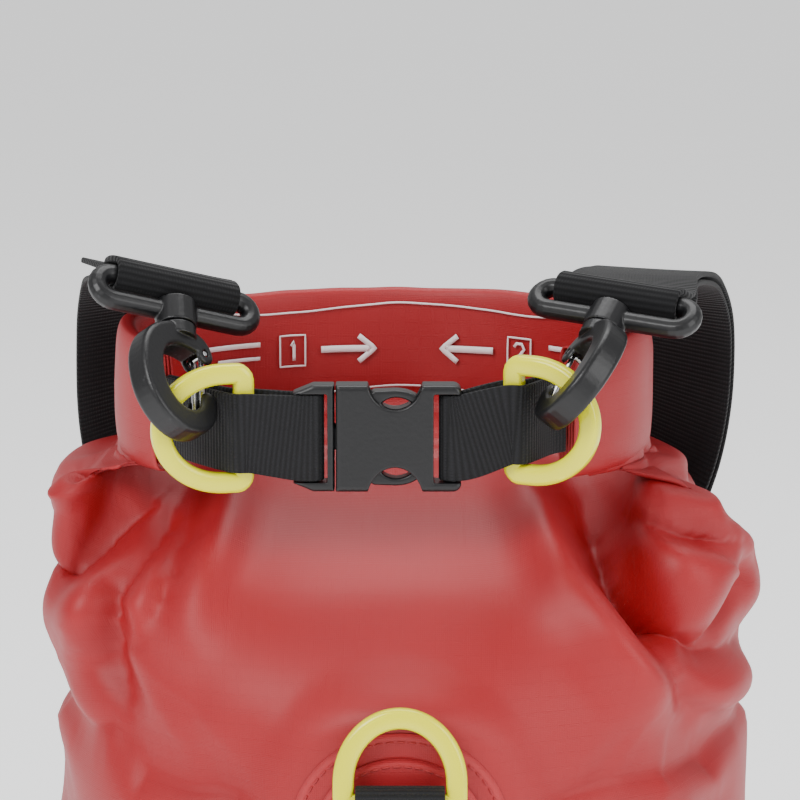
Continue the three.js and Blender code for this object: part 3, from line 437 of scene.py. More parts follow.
def folded(points):
    """Cloth simulation of the shoulders; the straight tube and the mouth are held."""
    cloth = add("draft", points.reshape(-1, 3), quads(skin_rows, AROUND, True), CLOTH)
    held = cloth.vertex_groups.new(name="held")
    level = np.arange(skin_rows)
    for row in level:
        if row >= skin_rows - 2:
            weight = 1.0
        else:
            weight = float(np.clip((LOWER_ROWS - row) / 10, 0, 1))
        held.add(list(range(row * AROUND, (row + 1) * AROUND)), weight, "REPLACE")
    cloth.shape_key_add(name="start")
    cut = cloth.shape_key_add(name="cut")
    roomy = points * np.array([SPARE_CLOTH, SPARE_CLOTH, 1])
    roomy[:, :, 2] = SHOULDER + (points[:, :, 2] - SHOULDER) * SPARE_CLOTH
    cut.data.foreach_set("co", roomy.astype(np.float32).ravel())
    cut.value = 0
    cloth.active_shape_key_index = 0
    sim = cloth.modifiers.new("cloth", "CLOTH")
    s = sim.settings
    s.quality = 7
    s.mass = 0.25
    s.tension_stiffness = 20
    s.compression_stiffness = 20
    s.shear_stiffness = 8
    s.bending_stiffness = 0.35
    s.tension_damping = s.compression_damping = 12
    s.vertex_group_mass = "held"
    s.rest_shape_key = cut
    s.use_pressure = True
    s.uniform_pressure_force = 1.5
    s.effector_weights.gravity = 0.25
    sim.collision_settings.use_collision = False
    sim.point_cache.frame_start, sim.point_cache.frame_end = 1, FOLD_FRAMES
    for f in range(1, FOLD_FRAMES + 1):
        bpy.context.scene.frame_set(f)
    graph = bpy.context.evaluated_depsgraph_get()
    mesh = cloth.evaluated_get(graph).to_mesh()
    moved = np.zeros(len(mesh.vertices) * 3, np.float32)
    mesh.vertices.foreach_get("co", moved)
    bpy.data.objects.remove(cloth)
    bpy.context.scene.frame_set(1)
    return moved.reshape(skin_rows, AROUND, 3).astype(float)


FOLD_FRAMES = 22
FOLD_REACH = 0.007  # no point moves further than this from where it starts

# %% [markdown]
# The deepest folds are laid first, because their place decides how the bag reads: each one is a
# line seen from the front, in millimetres, with a depth and a width. The cloth sinks along it and swells
# on both sides of it. The back gets the same folds mirrored, a little shallower.

# %% Listed folds: line of (x, z) points, depth and half width, all in mm
FOLDS = [
    ([(-66, 318), (-92, 322), (-116, 318)], 7, 5.5),
    ([(-66, 314), (-84, 305), (-100, 292), (-122, 282)], 15, 8),
    ([(-64, 312), (-74, 298), (-84, 285), (-86, 268), (-80, 250)], 10, 6),
    ([(-58, 310), (-66, 292), (-72, 276)], 7, 5),
    ([(-100, 270), (-112, 240), (-104, 205), (-80, 180)], 4, 10),
    ([(62, 318), (80, 318), (102, 312), (112, 300)], 7, 5),
    ([(58, 314), (70, 306), (90, 300), (108, 294)], 9, 6),
    ([(54, 312), (62, 297), (78, 282), (90, 274), (96, 268)], 16, 8),
    ([(50, 312), (66, 292), (80, 268), (88, 255)], 9, 6),
    ([(96, 268), (104, 282), (112, 288)], 7, 5),
    ([(96, 268), (110, 262), (118, 256)], 6, 6),
    ([(88, 255), (96, 225), (100, 195)], 4, 10),
]


def line_distance(x, z, line):
    """Distance from every point to the line, which side of it the point is on, and how far along (0 to 1)."""
    best = np.full(x.shape, 1e9)
    side, along = np.zeros(x.shape), np.zeros(x.shape)
    for k, ((ax, az), (bx, bz)) in enumerate(zip(line, line[1:])):
        ux, uz = bx - ax, bz - az
        t = np.clip(((x - ax) * ux + (z - az) * uz) / (ux * ux + uz * uz), 0, 1)
        dx, dz = x - (ax + t * ux), z - (az + t * uz)
        d = np.hypot(dx, dz)
        nearer = d < best
        best = np.where(nearer, d, best)
        side = np.where(nearer, np.sign(dx * uz - dz * ux), side)
        along = np.where(nearer, (k + t) / (len(line) - 1), along)
    return best, side, along


def sculpted(points):
    grid = points.reshape(skin_rows, AROUND, 3)
    across = np.roll(grid, -1, axis=1) - np.roll(grid, 1, axis=1)
    upward = np.gradient(grid, axis=0)
    normal = np.cross(upward, across)
    normal /= np.maximum(np.linalg.norm(normal, axis=2, keepdims=True), 1e-12)
    outward = np.sum(normal * np.dstack([grid[..., 0], grid[..., 1], 0 * grid[..., 0]]), axis=2).mean()
    normal *= 1 if outward > 0 else -1
    x, y, z = grid[..., 0] * 1000, grid[..., 1], grid[..., 2] * 1000
    sink = np.zeros(x.shape)
    for line, depth, width in FOLDS:
        for at_front in (True, False):
            path = line if at_front else [(px * 0.97, pz - 5) for px, pz in line]
            d, side, along = line_distance(x, z, path)
            face = np.clip(0.5 - y / 0.05 if at_front else 0.5 + y / 0.05, 0, 1)
            fade = np.sin(np.pi * np.clip(0.12 + 0.84 * along, 0, 1)) ** 0.6
            groove = np.exp(-((d / width) ** 2)) - 0.42 * np.exp(-(((d - 2.1 * width) / (1.25 * width)) ** 2))
            groove *= np.where(side > 0, 1.15, 0.85)
            sink += (depth if at_front else 0.8 * depth) * fade * face * groove
    hold = np.clip((ROLL_BOTTOM * 1000 + 2 - z) / 10, 0, 1)
    return grid - normal * (sink * hold * 0.001)[..., None]


start = sculpted(start)
skin_points = folded(start)
shift = skin_points - start
length = np.linalg.norm(shift, axis=2, keepdims=True)
skin_points = start + shift * np.minimum(1, FOLD_REACH / np.maximum(length, 1e-9))
print("folds moved", round(float(length.max()), 4), "m at most")

# %% [markdown]
# The patch, the tab and the ring are stiff, so the front stays smooth round them. The skin also keeps under
# the roll and behind the strap and the hooks.

# %% Skin: keep clear of its neighbours
patch_low, patch_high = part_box("front_patch")
PATCH_Z = (patch_low.z + patch_high.z) / 2
PATCH_RADIUS = (patch_high.z - patch_low.z) / 2


def keep_clear(points):
    x, y, z = points[..., 0], points[..., 1], points[..., 2]
    near = np.hypot(x, z - PATCH_Z)
    calm = np.clip((near - PATCH_RADIUS - 0.002) / 0.016, 0, 1) * (y < 0) + (y >= 0)
    calm = calm * calm * (3 - 2 * calm)
    radial = np.hypot(x, y)
    on_tube = np.where(radial > 1e-6, RADIUS / radial, 1)
    for axis in (0, 1):
        tube = points[..., axis] * on_tube
        points[..., axis] = tube * (1 - calm) + points[..., axis] * calm
    top = ROLL_BOTTOM - 0.0008
    points[:-3, :, 2] = np.minimum(points[:-3, :, 2], top + np.clip((np.hypot(x, y)[:-3] - 0.09) * 0.4, 0, 0.006))
    reach = np.hypot(points[..., 0], points[..., 1])
    limit = RADIUS + 0.0125
    shrink = np.minimum(1, limit / np.maximum(reach, 1e-9))
    points[..., 0] *= shrink
    points[..., 1] *= shrink
    return points


skin_points = keep_clear(skin_points)
skin = add(
    "bag_skin", skin_points.reshape(-1, 3), quads(skin_rows, AROUND, True), CLOTH, uv=skin_uv.reshape(-1, 2),
)
SKIN_THICKNESS = 0.0006


def mend_seam(thing):
    """The fabric's coordinate jumps back to 0 where the tube closes, so the last column carries on."""
    layer = thing.data.uv_layers["cloth"].data
    full = 2 * math.pi * RADIUS
    for face in thing.data.polygons:
        us = [layer[i].uv[0] for i in face.loop_indices]
        if max(us) - min(us) > full / 2:
            for i in face.loop_indices:
                if layer[i].uv[0] < full / 2:
                    layer[i].uv[0] += full


mend_seam(skin)
smoothing = skin.modifiers.new("finer", "SUBSURF")
smoothing.levels = smoothing.render_levels = 1
shell = skin.modifiers.new("thickness", "SOLIDIFY")
shell.thickness = SKIN_THICKNESS
shell.offset = -1
skin_tree = BVHTree.FromPolygons(
    [Vector(p) for p in skin_points.reshape(-1, 3)], quads(skin_rows, AROUND, True),
)
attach(skin, "bag")
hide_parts("bag_shell")
print("skin", len(skin.data.vertices), "points")


# %% [markdown]
# ## Pieces that lie on the skin
# A patch or a seam is drawn flat and dropped onto the tube from outside, so it always follows what is
# under it. Its rows become a thin closed slab with a soft edge.

# %% Laid pieces
def laid(x, z, off, back=False):
    """The point on the skin at that width and height, off its surface."""
    direction = Vector((0, -1, 0)) if back else Vector((0, 1, 0))
    hit, normal, _, _ = skin_tree.ray_cast(Vector((x, 0.3 if back else -0.3, z)), direction)
    if hit is None:
        hit = Vector((x, (1 if back else -1) * math.sqrt(max(RADIUS ** 2 - x * x, 0)), z))
    out = Vector((hit.x, hit.y, 0)).normalized()
    return hit + out * off


def laid_disc(name, radius, off, thickness, material, cad):
    rings, spokes = 16, 96
    points, uv = [], []
    for layer in range(rings + 4):
        share = min(layer / rings, 1)
        edge = [(1, 1), (1, 0.6), (0.998, 0.0)][layer - rings - 1] if layer > rings else (share, 1)
        for k in range(spokes):
            a = 2 * math.pi * k / spokes
            x, z = radius * edge[0] * math.cos(a), radius * edge[0] * math.sin(a)
            rounding = 0.25 * max(0, share - 0.93) / 0.07 if layer <= rings else 0.25
            points.append(laid(x, PATCH_Z + z, off + thickness * edge[1] * (1 - rounding)))
            uv.append((x + 0.003, z))
    made = add(name, points, quads(rings + 4, spokes, True), material, "bag", cad, uv)
    return made


laid_disc("patch_outer", PATCH_RADIUS, 0.0002, 0.0010, CLOTH, ["front_patch"])
inner_low, inner_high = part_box("front_patch_inner")
INNER_RADIUS = (inner_high.z - inner_low.z) / 2
laid_disc("patch_inner", INNER_RADIUS, 0.0014, 0.0010, CLOTH, ["front_patch_inner"])


def laid_strip(name, width, bottom, top, cad, off=0.0004, thickness=0.0011):
    rows, columns = 90, 9
    points, uv = [], []
    for r in range(rows):
        z = bottom + (top - bottom) * r / (rows - 1)
        for c in range(columns):
            x = width * (c / (columns - 1) - 0.5)
            edge = 0.2 if c in (0, columns - 1) else 1
            points.append(laid(x, z, off + thickness * edge, back=True))
            uv.append((x, z))
    return add(name, points, quads(rows, columns), CLOTH, "bag", cad, uv)


seam_low, seam_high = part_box("back_seam")
seam = laid_strip("back_lap", 0.022, seam_low.z, seam_high.z, ["back_seam"])

band_low, band_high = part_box("base_band")


def base_band():
    profile = [(0.0004, 0.0), (0.0012, 0.0006), (0.0013, 0.004), (0.0013, 0.011), (0.0012, 0.0144), (0.0004, 0.015)]
    spokes = 144
    points, uv = [], []
    for out, up in profile:
        for k in range(spokes):
            a = 2 * math.pi * k / spokes
            reach = RADIUS + out
            points.append((reach * math.cos(a), reach * math.sin(a), band_low.z + up))
            uv.append((a * RADIUS, up))
    return add("bottom_band", points, quads(len(profile), spokes, True), CLOTH, "bag", ["base_band"], uv)


base_band()

# %% [markdown]
# ## Stitches
# Thread is what makes a sewn edge read as sewn. One stitch is a short fat bead, sunk a little into the
# cloth, and a seam is a row of them along a path.


# %% Stitch maker
def stitches(name, path, material, body, pitch=0.0031, radius=0.00034):
    """A row of stitches along (point, normal) pairs, spaced evenly."""
    points = [Vector(p) for p, _ in path]
    normals = [Vector(n).normalized() for _, n in path]
    runs = np.concatenate([[0], np.cumsum([(b - a).length for a, b in zip(points, points[1:])])])
    verts, faces = [], []
    count = max(int(runs[-1] / pitch), 1)

    def at(s):
        i = int(np.clip(np.searchsorted(runs, s) - 1, 0, len(points) - 2))
        f = (s - runs[i]) / max(runs[i + 1] - runs[i], 1e-9)
        return points[i].lerp(points[i + 1], f), normals[i].lerp(normals[i + 1], f).normalized()

    for k in range(count):
        ring_sides, beads = 6, [(-0.36, 0.35), (-0.3, 0.85), (0, 1), (0.3, 0.85), (0.36, 0.35)]
        base = len(verts)
        for along, fat in beads:
            centre, up = at((k + 0.5 + along) * pitch)
            ahead = (at((k + 0.9) * pitch)[0] - at((k + 0.1) * pitch)[0]).normalized()
            across = up.cross(ahead).normalized()
            for j in range(ring_sides):
                a = 2 * math.pi * j / ring_sides
                verts.append(centre + radius * fat * (math.cos(a) * across + math.sin(a) * up))
        faces += [tuple(base + i for i in q) for q in quads(len(beads), ring_sides, True)]
        faces.append(tuple(base + j for j in reversed(range(ring_sides))))
        faces.append(tuple(base + (len(beads) - 1) * ring_sides + j for j in range(ring_sides)))
    return add(name, verts, faces, material, body)


def circle_path(radius, off):
    path = []
    for k in range(121):
        a = 2 * math.pi * k / 120
        p = laid(radius * math.cos(a), PATCH_Z + radius * math.sin(a), off)
        path.append((p, Vector((p.x, p.y, 0))))
    return path


stitches("patch_outer_stitches", circle_path(PATCH_RADIUS - 0.0025, 0.0013), RED_THREAD, "bag")
stitches("patch_inner_stitches", circle_path(INNER_RADIUS - 0.0022, 0.0025), RED_THREAD, "bag")

# %% [markdown]
# ## The rolled mouth
# The mouth is a flat double layer rolled down on itself, so its section is a flattened spiral. Sweeping the
# spiral along the mouth's line shows the layers at both ends, and a slow wave along the top edge and a
# little puffiness keep it from looking extruded.

# %% Roll
ROLL_HEIGHT = ROLL_TOP - ROLL_BOTTOM
LAYERS = 3.4
LAYER_PITCH = 0.00125


def roll_section(points=150):
    """The spiral as (out, up) pairs from the outside in: out is across the roll, up is its height."""
    made = []
    for i in range(points):
        t = i / (points - 1)
        a = -math.pi / 2 + 2 * math.pi * LAYERS * t
        sunk = LAYER_PITCH * LAYERS * t
        half_t, half_h = ROLL_THICKNESS / 2 - sunk, ROLL_HEIGHT / 2 - sunk * 1.5
        c, s = math.cos(a), math.sin(a)
        made.append((half_t * math.copysign(abs(c) ** 0.55, c), half_h * math.copysign(abs(s) ** 0.85, s)))
    return made


def roll_place(share, out, up):
    """A point of the roll, with its waves."""
    puff = 1 + 0.10 * noise.noise(Vector((share * 9, up * 60, 3.1))) + 0.05 * noise.noise(Vector((share * 30, up * 90, 8)))
    wave = 0.0016 * noise.noise(Vector((share * 6.5, 0.4, 1.7))) + 0.0006 * noise.noise(Vector((share * 21, 1.4, 0)))
    flat = on_loop(np.array(share), out * puff + 0.0006 * noise.noise(Vector((share * 12, up * 40, 5))))
    lift = up * (1 + 0.02 * noise.noise(Vector((share * 8, 5.5, 0))))
    top = (ROLL_BOTTOM + ROLL_TOP) / 2
    low_share = np.clip((up / ROLL_HEIGHT) + 0.5, 0, 1)
    return Vector((flat[0], flat[1], top + lift + wave * low_share - 0.0006))


def roll():
    section = roll_section()
    steps = 170
    points, uv = [], []
    for i in range(steps):
        share = i / (steps - 1)
        run = 0
        for k, (out, up) in enumerate(section):
            if k:
                run += math.dist(section[k - 1], section[k])
            points.append(roll_place(share, out, up))
            uv.append((share * LOOP_LENGTH, run))
    made = add("roll", points, quads(steps, len(section)), CLOTH, uv=uv)
    layer = made.modifiers.new("fabric", "SOLIDIFY")
    layer.thickness = 0.00055
    layer.offset = -1
    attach(made, "bag")
    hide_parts("rolled_mouth", "stiffener")
    made.data.materials.append(LINING)
    return made


roll()
print("roll made")

# %% [markdown]
# ## The print on the roll
# The band that faces the user tells how to close the bag. A plain outline, two arrows, two small boxes and
# the numbers 1 and 2 say it without words. Each shape is a thin film laid on the roll.

# %% Print
PRINT_OFF = 0.00030
BAND_MIDDLE = 0.5
SIDE_OUT = -1  # the inner side of the roll faces the front


def on_band(s, h):
    """The point at s metres along the band from its middle and h metres above its centre."""
    share = BAND_MIDDLE + s / LOOP_LENGTH
    up = h
    edge = min(abs(up) / (ROLL_HEIGHT / 2), 1)
    angle_sine = edge ** (1 / 0.85)
    half = ROLL_THICKNESS / 2 * max(1 - angle_sine ** 2, 0) ** (0.55 / 2)
    return roll_place(share, SIDE_OUT * (half + PRINT_OFF), up)


def film(name, strokes):
    """Strokes are (points, width): each becomes a ribbon on the band."""
    verts, faces = [], []
    for line, width in strokes:
        fine = []
        for a, b in zip(line, line[1:]):
            pieces = max(int(math.dist(a, b) / 0.0012), 1)
            fine += [(a[0] + (b[0] - a[0]) * i / pieces, a[1] + (b[1] - a[1]) * i / pieces) for i in range(pieces)]
        fine.append(line[-1])
        base = len(verts)
        for i, (s, h) in enumerate(fine):
            p, q = fine[max(i - 1, 0)], fine[min(i + 1, len(fine) - 1)]
            d = math.dist(p, q) or 1
            nx, ny = -(q[1] - p[1]) / d, (q[0] - p[0]) / d
            for side in (-0.5, 0, 0.5):
                verts.append(on_band(s + nx * width * side, h + ny * width * side))
        faces += [tuple(base + i for i in quad) for quad in quads(len(fine), 3)]
    made = add(name, verts, faces, INK, "bag")
    body = made.modifiers.new("film", "SOLIDIFY")
    body.thickness = 0.00008
    body.offset = 0
    return made


def wavy(h, from_s, to_s, swing):
    steps = 60
    return [
        (from_s + (to_s - from_s) * i / steps, h + swing * math.sin(i / steps * math.pi * 5))
        for i in range(steps + 1)
    ]


def oblong(s, h, wide, high):
    return [(s, h), (s + wide, h), (s + wide, h + high), (s, h + high), (s, h), (s + wide * 0.1, h)]


LINE = 0.0006
strokes = [(wavy(0.0135, -0.105, 0.105, 0.0012), LINE), (wavy(-0.0135, -0.105, 0.105, 0.0012), LINE)]
for sign in (-1, 1):
    strokes.append(([(sign * 0.030, 0.0), (sign * 0.013, 0.0)], 0.0022))
    strokes.append(([(sign * 0.017, 0.0042), (sign * 0.0115, 0.0), (sign * 0.017, -0.0042)], 0.0018))
    strokes.append((oblong(sign * 0.040 - 0.0045, -0.0050, 0.009, 0.010), LINE))
    strokes.append(([(sign * 0.052, 0.003), (sign * 0.075, 0.003)], 0.0016))
    strokes.append(([(sign * 0.052, -0.0015), (sign * 0.069, -0.0015)], 0.0012))
strokes.append(([(-0.0405, 0.0015), (-0.0395, 0.0030), (-0.0395, -0.0032)], 0.0011))
strokes.append((
    [(0.0380, 0.0020), (0.0390, 0.0032), (0.0410, 0.0032), (0.0420, 0.0015), (0.0380, -0.0030), (0.0422, -0.0030)], 0.0010,
))
film("closing_print", strokes)

# %% [markdown]
# ## Webbing
# All straps come from one maker. A strap is a run of stations, each with a middle point and the direction
# of its width; a smooth curve joins them and a thin section with round edges is swept along it.


# %% Strap maker
def smooth_line(points, steps):
    """Centripetal Catmull-Rom through points, as evenly spread values of its parameter."""
    p = np.array(points, float)
    ghost = [2 * p[0] - p[1], *p, 2 * p[-1] - p[-2]]
    out = []
    spans = len(p) - 1
    for i in range(steps + 1):
        share = i / steps * spans
        k = min(int(share), spans - 1)
        t = share - k
        a, b, c, d = ghost[k], ghost[k + 1], ghost[k + 2], ghost[k + 3]
        gaps = [max(np.linalg.norm(v) ** 0.5, 1e-6) for v in (b - a, c - b, d - c)]
        m1 = ((b - a) / gaps[0] - (c - a) / (gaps[0] + gaps[1]) + (c - b) / gaps[1]) * gaps[1]
        m2 = ((c - b) / gaps[1] - (d - b) / (gaps[1] + gaps[2]) + (d - c) / gaps[2]) * gaps[1]
        t2, t3 = t * t, t * t * t
        out.append((2 * t3 - 3 * t2 + 1) * b + (t3 - 2 * t2 + t) * m1 + (3 * t2 - 2 * t3) * c + (t3 - t2) * m2)
    return np.array(out)


def strap_section(width, thickness):
    """Half of the outline is enough to see how it closes: a flat band with bulging edges."""
    w, t = width / 2, thickness / 2
    side = [(w - t * 0.5, t), (w - t * 0.1, t * 0.7), (w, 0), (w - t * 0.1, -t * 0.7), (w - t * 0.5, -t)]
    flat = [w * f for f in (0.66, 0.33, 0, -0.33, -0.66)]
    top = [(x, t) for x in reversed(flat)]
    return [*side, *[(x, -t) for x in flat], *[(-x, -z) for x, z in side], *top]


def strap(name, points, wides, width, thickness, material, steps, body=None, cad=()):
    line = smooth_line(points, steps)
    side = smooth_line(wides, steps)
    run = np.gradient(line, axis=0)
    run /= np.linalg.norm(run, axis=1, keepdims=True)
    side -= run * np.sum(side * run, axis=1, keepdims=True)
    side /= np.linalg.norm(side, axis=1, keepdims=True)
    thin = np.cross(run, side)
    length = np.concatenate([[0], np.cumsum(np.linalg.norm(np.diff(line, axis=0), axis=1))])
    widths = width if np.ndim(width) else np.full(steps + 1, width)
    verts, uv = [], []
    for i in range(steps + 1):
        for x, z in strap_section(float(widths[i]), thickness):
            verts.append(line[i] + side[i] * x + thin[i] * z)
            uv.append((x, length[i]))
    ring = len(strap_section(1, 1))
    faces = quads(steps + 1, ring, True)
    faces += [tuple(reversed(range(ring))), tuple(range(steps * ring, (steps + 1) * ring))]
    made = add(name, verts, faces, material, body, cad, uv)
    return made, line, side, thin


# %% The closing strap's two loops
STRAP_WIDTH, STRAP_THICKNESS = 0.025, 0.0016
STRAP_Y = JOINTS["d_ring_left_swing"]["pos_m"][1]
STRAP_Z = (buckle_low.z + buckle_high.z) / 2
HALF = STRAP_THICKNESS / 2
PLAY = 0.00035
BAR_RADIUS = 0.0017
tongue_low, tongue_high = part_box("buckle_tongue")
LEFT_BAR = tongue_low.x + 0.0054
RIGHT_BAR = buckle_high.x - 0.0024 - 0.0004


def strap_loop(name, share, ring_x, bar_x, to_buckle, rise, cad):
    end = on_loop(np.array(share))
    ahead = on_loop(np.array(abs(share - 0.01)))
    run = (end - ahead) / np.linalg.norm(end - ahead)
    tail = end + run * (2 * PLAY + HALF)
    across = np.array([-run[1], run[0]]) * to_buckle
    sew = HALF + 0.0003
    ring_out = 0.0025 + HALF + 0.00105
    bar_out = BAR_RADIUS + HALF + 1.2 * PLAY
    turn = [
        (bar_x + to_buckle * bar_out * math.cos(math.radians(a)), STRAP_Y + bar_out * math.sin(math.radians(a)))
        for a in (-90, -67, -45, -22, 0, 22, 45, 67, 90)
    ]
    line = [
        tail - across * sew,
        tail + run * 0.005 - across * (sew + 0.0004),
        (ring_x - to_buckle * 0.002, STRAP_Y - ring_out),
        (ring_x + to_buckle * 0.002, STRAP_Y - ring_out),
        (bar_x - to_buckle * 0.0035, STRAP_Y - bar_out - 0.0003),
        *turn,
        (bar_x - to_buckle * 0.0035, STRAP_Y + bar_out + 0.0003),
        (ring_x + to_buckle * 0.002, STRAP_Y + ring_out),
        (ring_x - to_buckle * 0.002, STRAP_Y + ring_out),
        tail + run * 0.005 + across * (sew + 0.0004),
        tail + across * sew,
    ]
    near, far = ring_x + to_buckle * 0.0035, bar_x - to_buckle * 0.0022
    points = []
    for x, y in line:
        part = float(np.clip((far - x) / (far - near), 0, 1))
        points.append((x, y, STRAP_Z + rise * part))
    steps = 150
    path = smooth_line(points, steps)
    part = np.clip((far - path[:, 0]) / (far - near), 0, 1)
    widths = STRAP_WIDTH * (1 - 0.08 * part)
    made, _, _, _ = strap(name, points, [(0, 0, 1)] * len(points), widths, STRAP_THICKNESS, STRAP, steps)
    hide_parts(cad)
    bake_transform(made)
    return made


LEFT_RING = JOINTS["d_ring_left_swing"]["pos_m"]
RIGHT_RING = JOINTS["d_ring_right_swing"]["pos_m"]
strap_loop("strap_left", 0, LEFT_RING[0], LEFT_BAR, 1, 0.0017, "webbing_left")
strap_loop("strap_right", 1, RIGHT_RING[0], RIGHT_BAR, -1, 0.0042, "webbing_right")

# %% [markdown]
# ## The front tab
# The same webbing, folded round the front ring's bar, with both layers sewn down on the patch.

# %% Front tab
front_ring = JOINTS["d_ring_front_swing"]["pos_m"]
tab_low, tab_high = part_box("front_tab")
TAB_BACK = tab_high.y - HALF
TAB_FRONT = TAB_BACK - STRAP_THICKNESS - 2 * PLAY
FOLD_OUT = 0.003 + 1.5 * PLAY + HALF
tab_line = [(TAB_BACK, tab_low.z), (TAB_BACK, front_ring[2] - 0.012)]
tab_line += [
    (front_ring[1] + FOLD_OUT * math.cos(math.radians(a)), front_ring[2] + FOLD_OUT * math.sin(math.radians(a)))
    for a in range(-30, 211, 30)
]
tab_line += [
    (TAB_FRONT - 0.0016, front_ring[2] - 0.007), (TAB_FRONT - 0.0001, front_ring[2] - 0.014),
    (TAB_FRONT, front_ring[2] - 0.020), (TAB_FRONT, tab_low.z),
]
strap(
    "tab", [(0, y, z) for y, z in tab_line], [(1, 0, 0)] * len(tab_line), STRAP_WIDTH, STRAP_THICKNESS, STRAP, 120,
    "bag", ["front_tab"],
)


def tab_box():
    """A square of stitches with a cross in it, on the tab's face."""
    y = TAB_FRONT - HALF - 0.0001
    low, high, w = tab_low.z + 0.003, tab_low.z + 0.0155, 0.0095
    corners = [(-w, low), (w, low), (w, high), (-w, high), (-w, low), (w, high), (w, low), (-w, high)]
    return [(Vector((x, y, z)), Vector((0, -1, 0))) for x, z in corners]


stitches("tab_stitches", tab_box(), THREAD, "bag", pitch=0.0026)

# %% [markdown]
# ## The shoulder sling
# The sling runs from the left ring, down behind the bag and up to the right ring, and back down to its
# slide. Near a ring its width lies along the ring, so those stations are given in the ring's own frame,
# which is read from the joint that the ring turns on.

# %% Ring frames
SLING_WIDTH, SLING_THICKNESS = 0.038, 0.0017


def ring_frame(side):
    across = Vector(JOINTS[f"ring_{side}_tilt"]["axis"]).normalized()
    along = Vector(JOINTS[f"hook_{side}_swivel"]["axis"]).normalized()
    off = across.cross(along)
    at = Vector(JOINTS[f"hook_{side}_swivel"]["pos_m"])
    frame_matrix = Matrix((across, along, off)).transposed().to_4x4()
    return Matrix.Translation(at) @ frame_matrix


RINGS = {side: ring_frame(side) for side in ("left", "right")}


def in_ring(side, toward, pairs):
    turn = RINGS[side].to_3x3() @ Vector((toward, 0, 0))
    return [(tuple(RINGS[side] @ Vector((0, y * 0.001, z * 0.001))), tuple(turn)) for y, z in pairs]


def station(x, y, z, *wide):
    wide = (*wide, 0)[:3]
    return ((x * 0.001, y * 0.001, z * 0.001), tuple(Vector(wide).normalized()))


# %% Sling stations
ROUND_BAR = [(11.5, -4.4), (7.8, -4.1), (5.4, -2.4), (4.7, 0.3), (5.8, 2.9), (9, 4.3), (12.3, 2.9), (16.5, -2.4)]
left_leg = [
    station(-70, -24, 367.5, -0.95, -0.12, 0.25), station(-77, 6, 363.5, -0.98, -0.2, 0.1),
    station(-82, 33, 359, -1, -0.3), station(-86, 52, 345, -1, -0.45), station(-88, 64, 322, -0.95, -0.5),
    station(-88, 77, 298, -0.85, -0.6), station(-84, 83, 268, -0.75, -0.66), station(-77, 87, 236, -0.72, -0.69),
    station(-70, 93, 200, -0.68, -0.73), station(-60, 107, 160, -0.45, -0.89), station(-38, 126, 121, -0.15, -1),
]
bottom = [station(0, 131, 104, 0, -1), station(37, 127, 119, 0.15, -1), station(60, 111, 150, 0.45, -0.89)]
LEG_FOOT, LEG_TOP = Vector((0.074, 0.095, 0.186)), Vector((0.0845, 0.084, 0.270))
LEG_UP = (LEG_TOP - LEG_FOOT).normalized()
LEG_LENGTH = (LEG_TOP - LEG_FOOT).length
LEG_WIDE = Vector((0.66, -0.75, 0))
LEG_WIDE = (LEG_WIDE - LEG_UP * LEG_WIDE.dot(LEG_UP)).normalized()
LEG_OUT = -LEG_UP.cross(LEG_WIDE)
if LEG_OUT.dot(Vector((LEG_FOOT.x, LEG_FOOT.y, 0))) < 0:
    LEG_OUT = -LEG_OUT


def by_leg(up, off=0.0):
    return (tuple(LEG_FOOT + LEG_UP * up + LEG_OUT * off), tuple(LEG_WIDE))


right_leg = [by_leg(share * LEG_LENGTH) for share in (0, 0.1, 0.38, 0.66, 0.9, 1)]
right_leg += [
    station(90, 74, 300, 0.82, -0.6), station(91, 61, 325, 0.93, -0.5), station(89, 48, 347, 0.95, -0.45),
    station(83, 29, 361.5, 0.95, -0.3, -0.04), station(76, 3, 367, 0.96, -0.28), station(70, -24, 369.5, 0.94, -0.33),
]
strand = in_ring("left", -1, [(30, -23.5), (22, -14), (15.4, -6.5), *ROUND_BAR]) + left_leg + bottom + right_leg
LAYER = SLING_THICKNESS + PLAY


def returning():
    """The layer that comes back from the right ring lies against the bag, under the first one."""
    first = len(strand) - len(right_leg)
    line = smooth_line([s[0] for s in strand], 4 * (len(strand) - 1))
    side = smooth_line([s[1] for s in strand], 4 * (len(strand) - 1))
    run = np.gradient(line, axis=0)
    made = []
    for i in range(6, len(right_leg)):
        k = 4 * (first + i)
        thin = np.cross(run[k] / np.linalg.norm(run[k]), side[k])
        inward = -1 if np.dot(thin, [line[k][0], line[k][1], 0]) > 0 else 1
        at = line[k] + thin * inward * (1.9 - 0.15 * (i - 6)) * LAYER
        made.append((tuple(at), tuple(side[k])))
    top = in_ring("right", 1, [(15.4, -6.9)])
    return top + made[::-1] + [by_leg(LEG_LENGTH, -2 * LAYER), by_leg(0.054, -2 * LAYER)]


sling_stations = strand + in_ring("right", 1, ROUND_BAR[::-1]) + returning()
strap(
    "shoulder_sling", [s[0] for s in sling_stations], [s[1] for s in sling_stations], SLING_WIDTH, SLING_THICKNESS,
    SLING, 560, "bag", ["sling"],
)

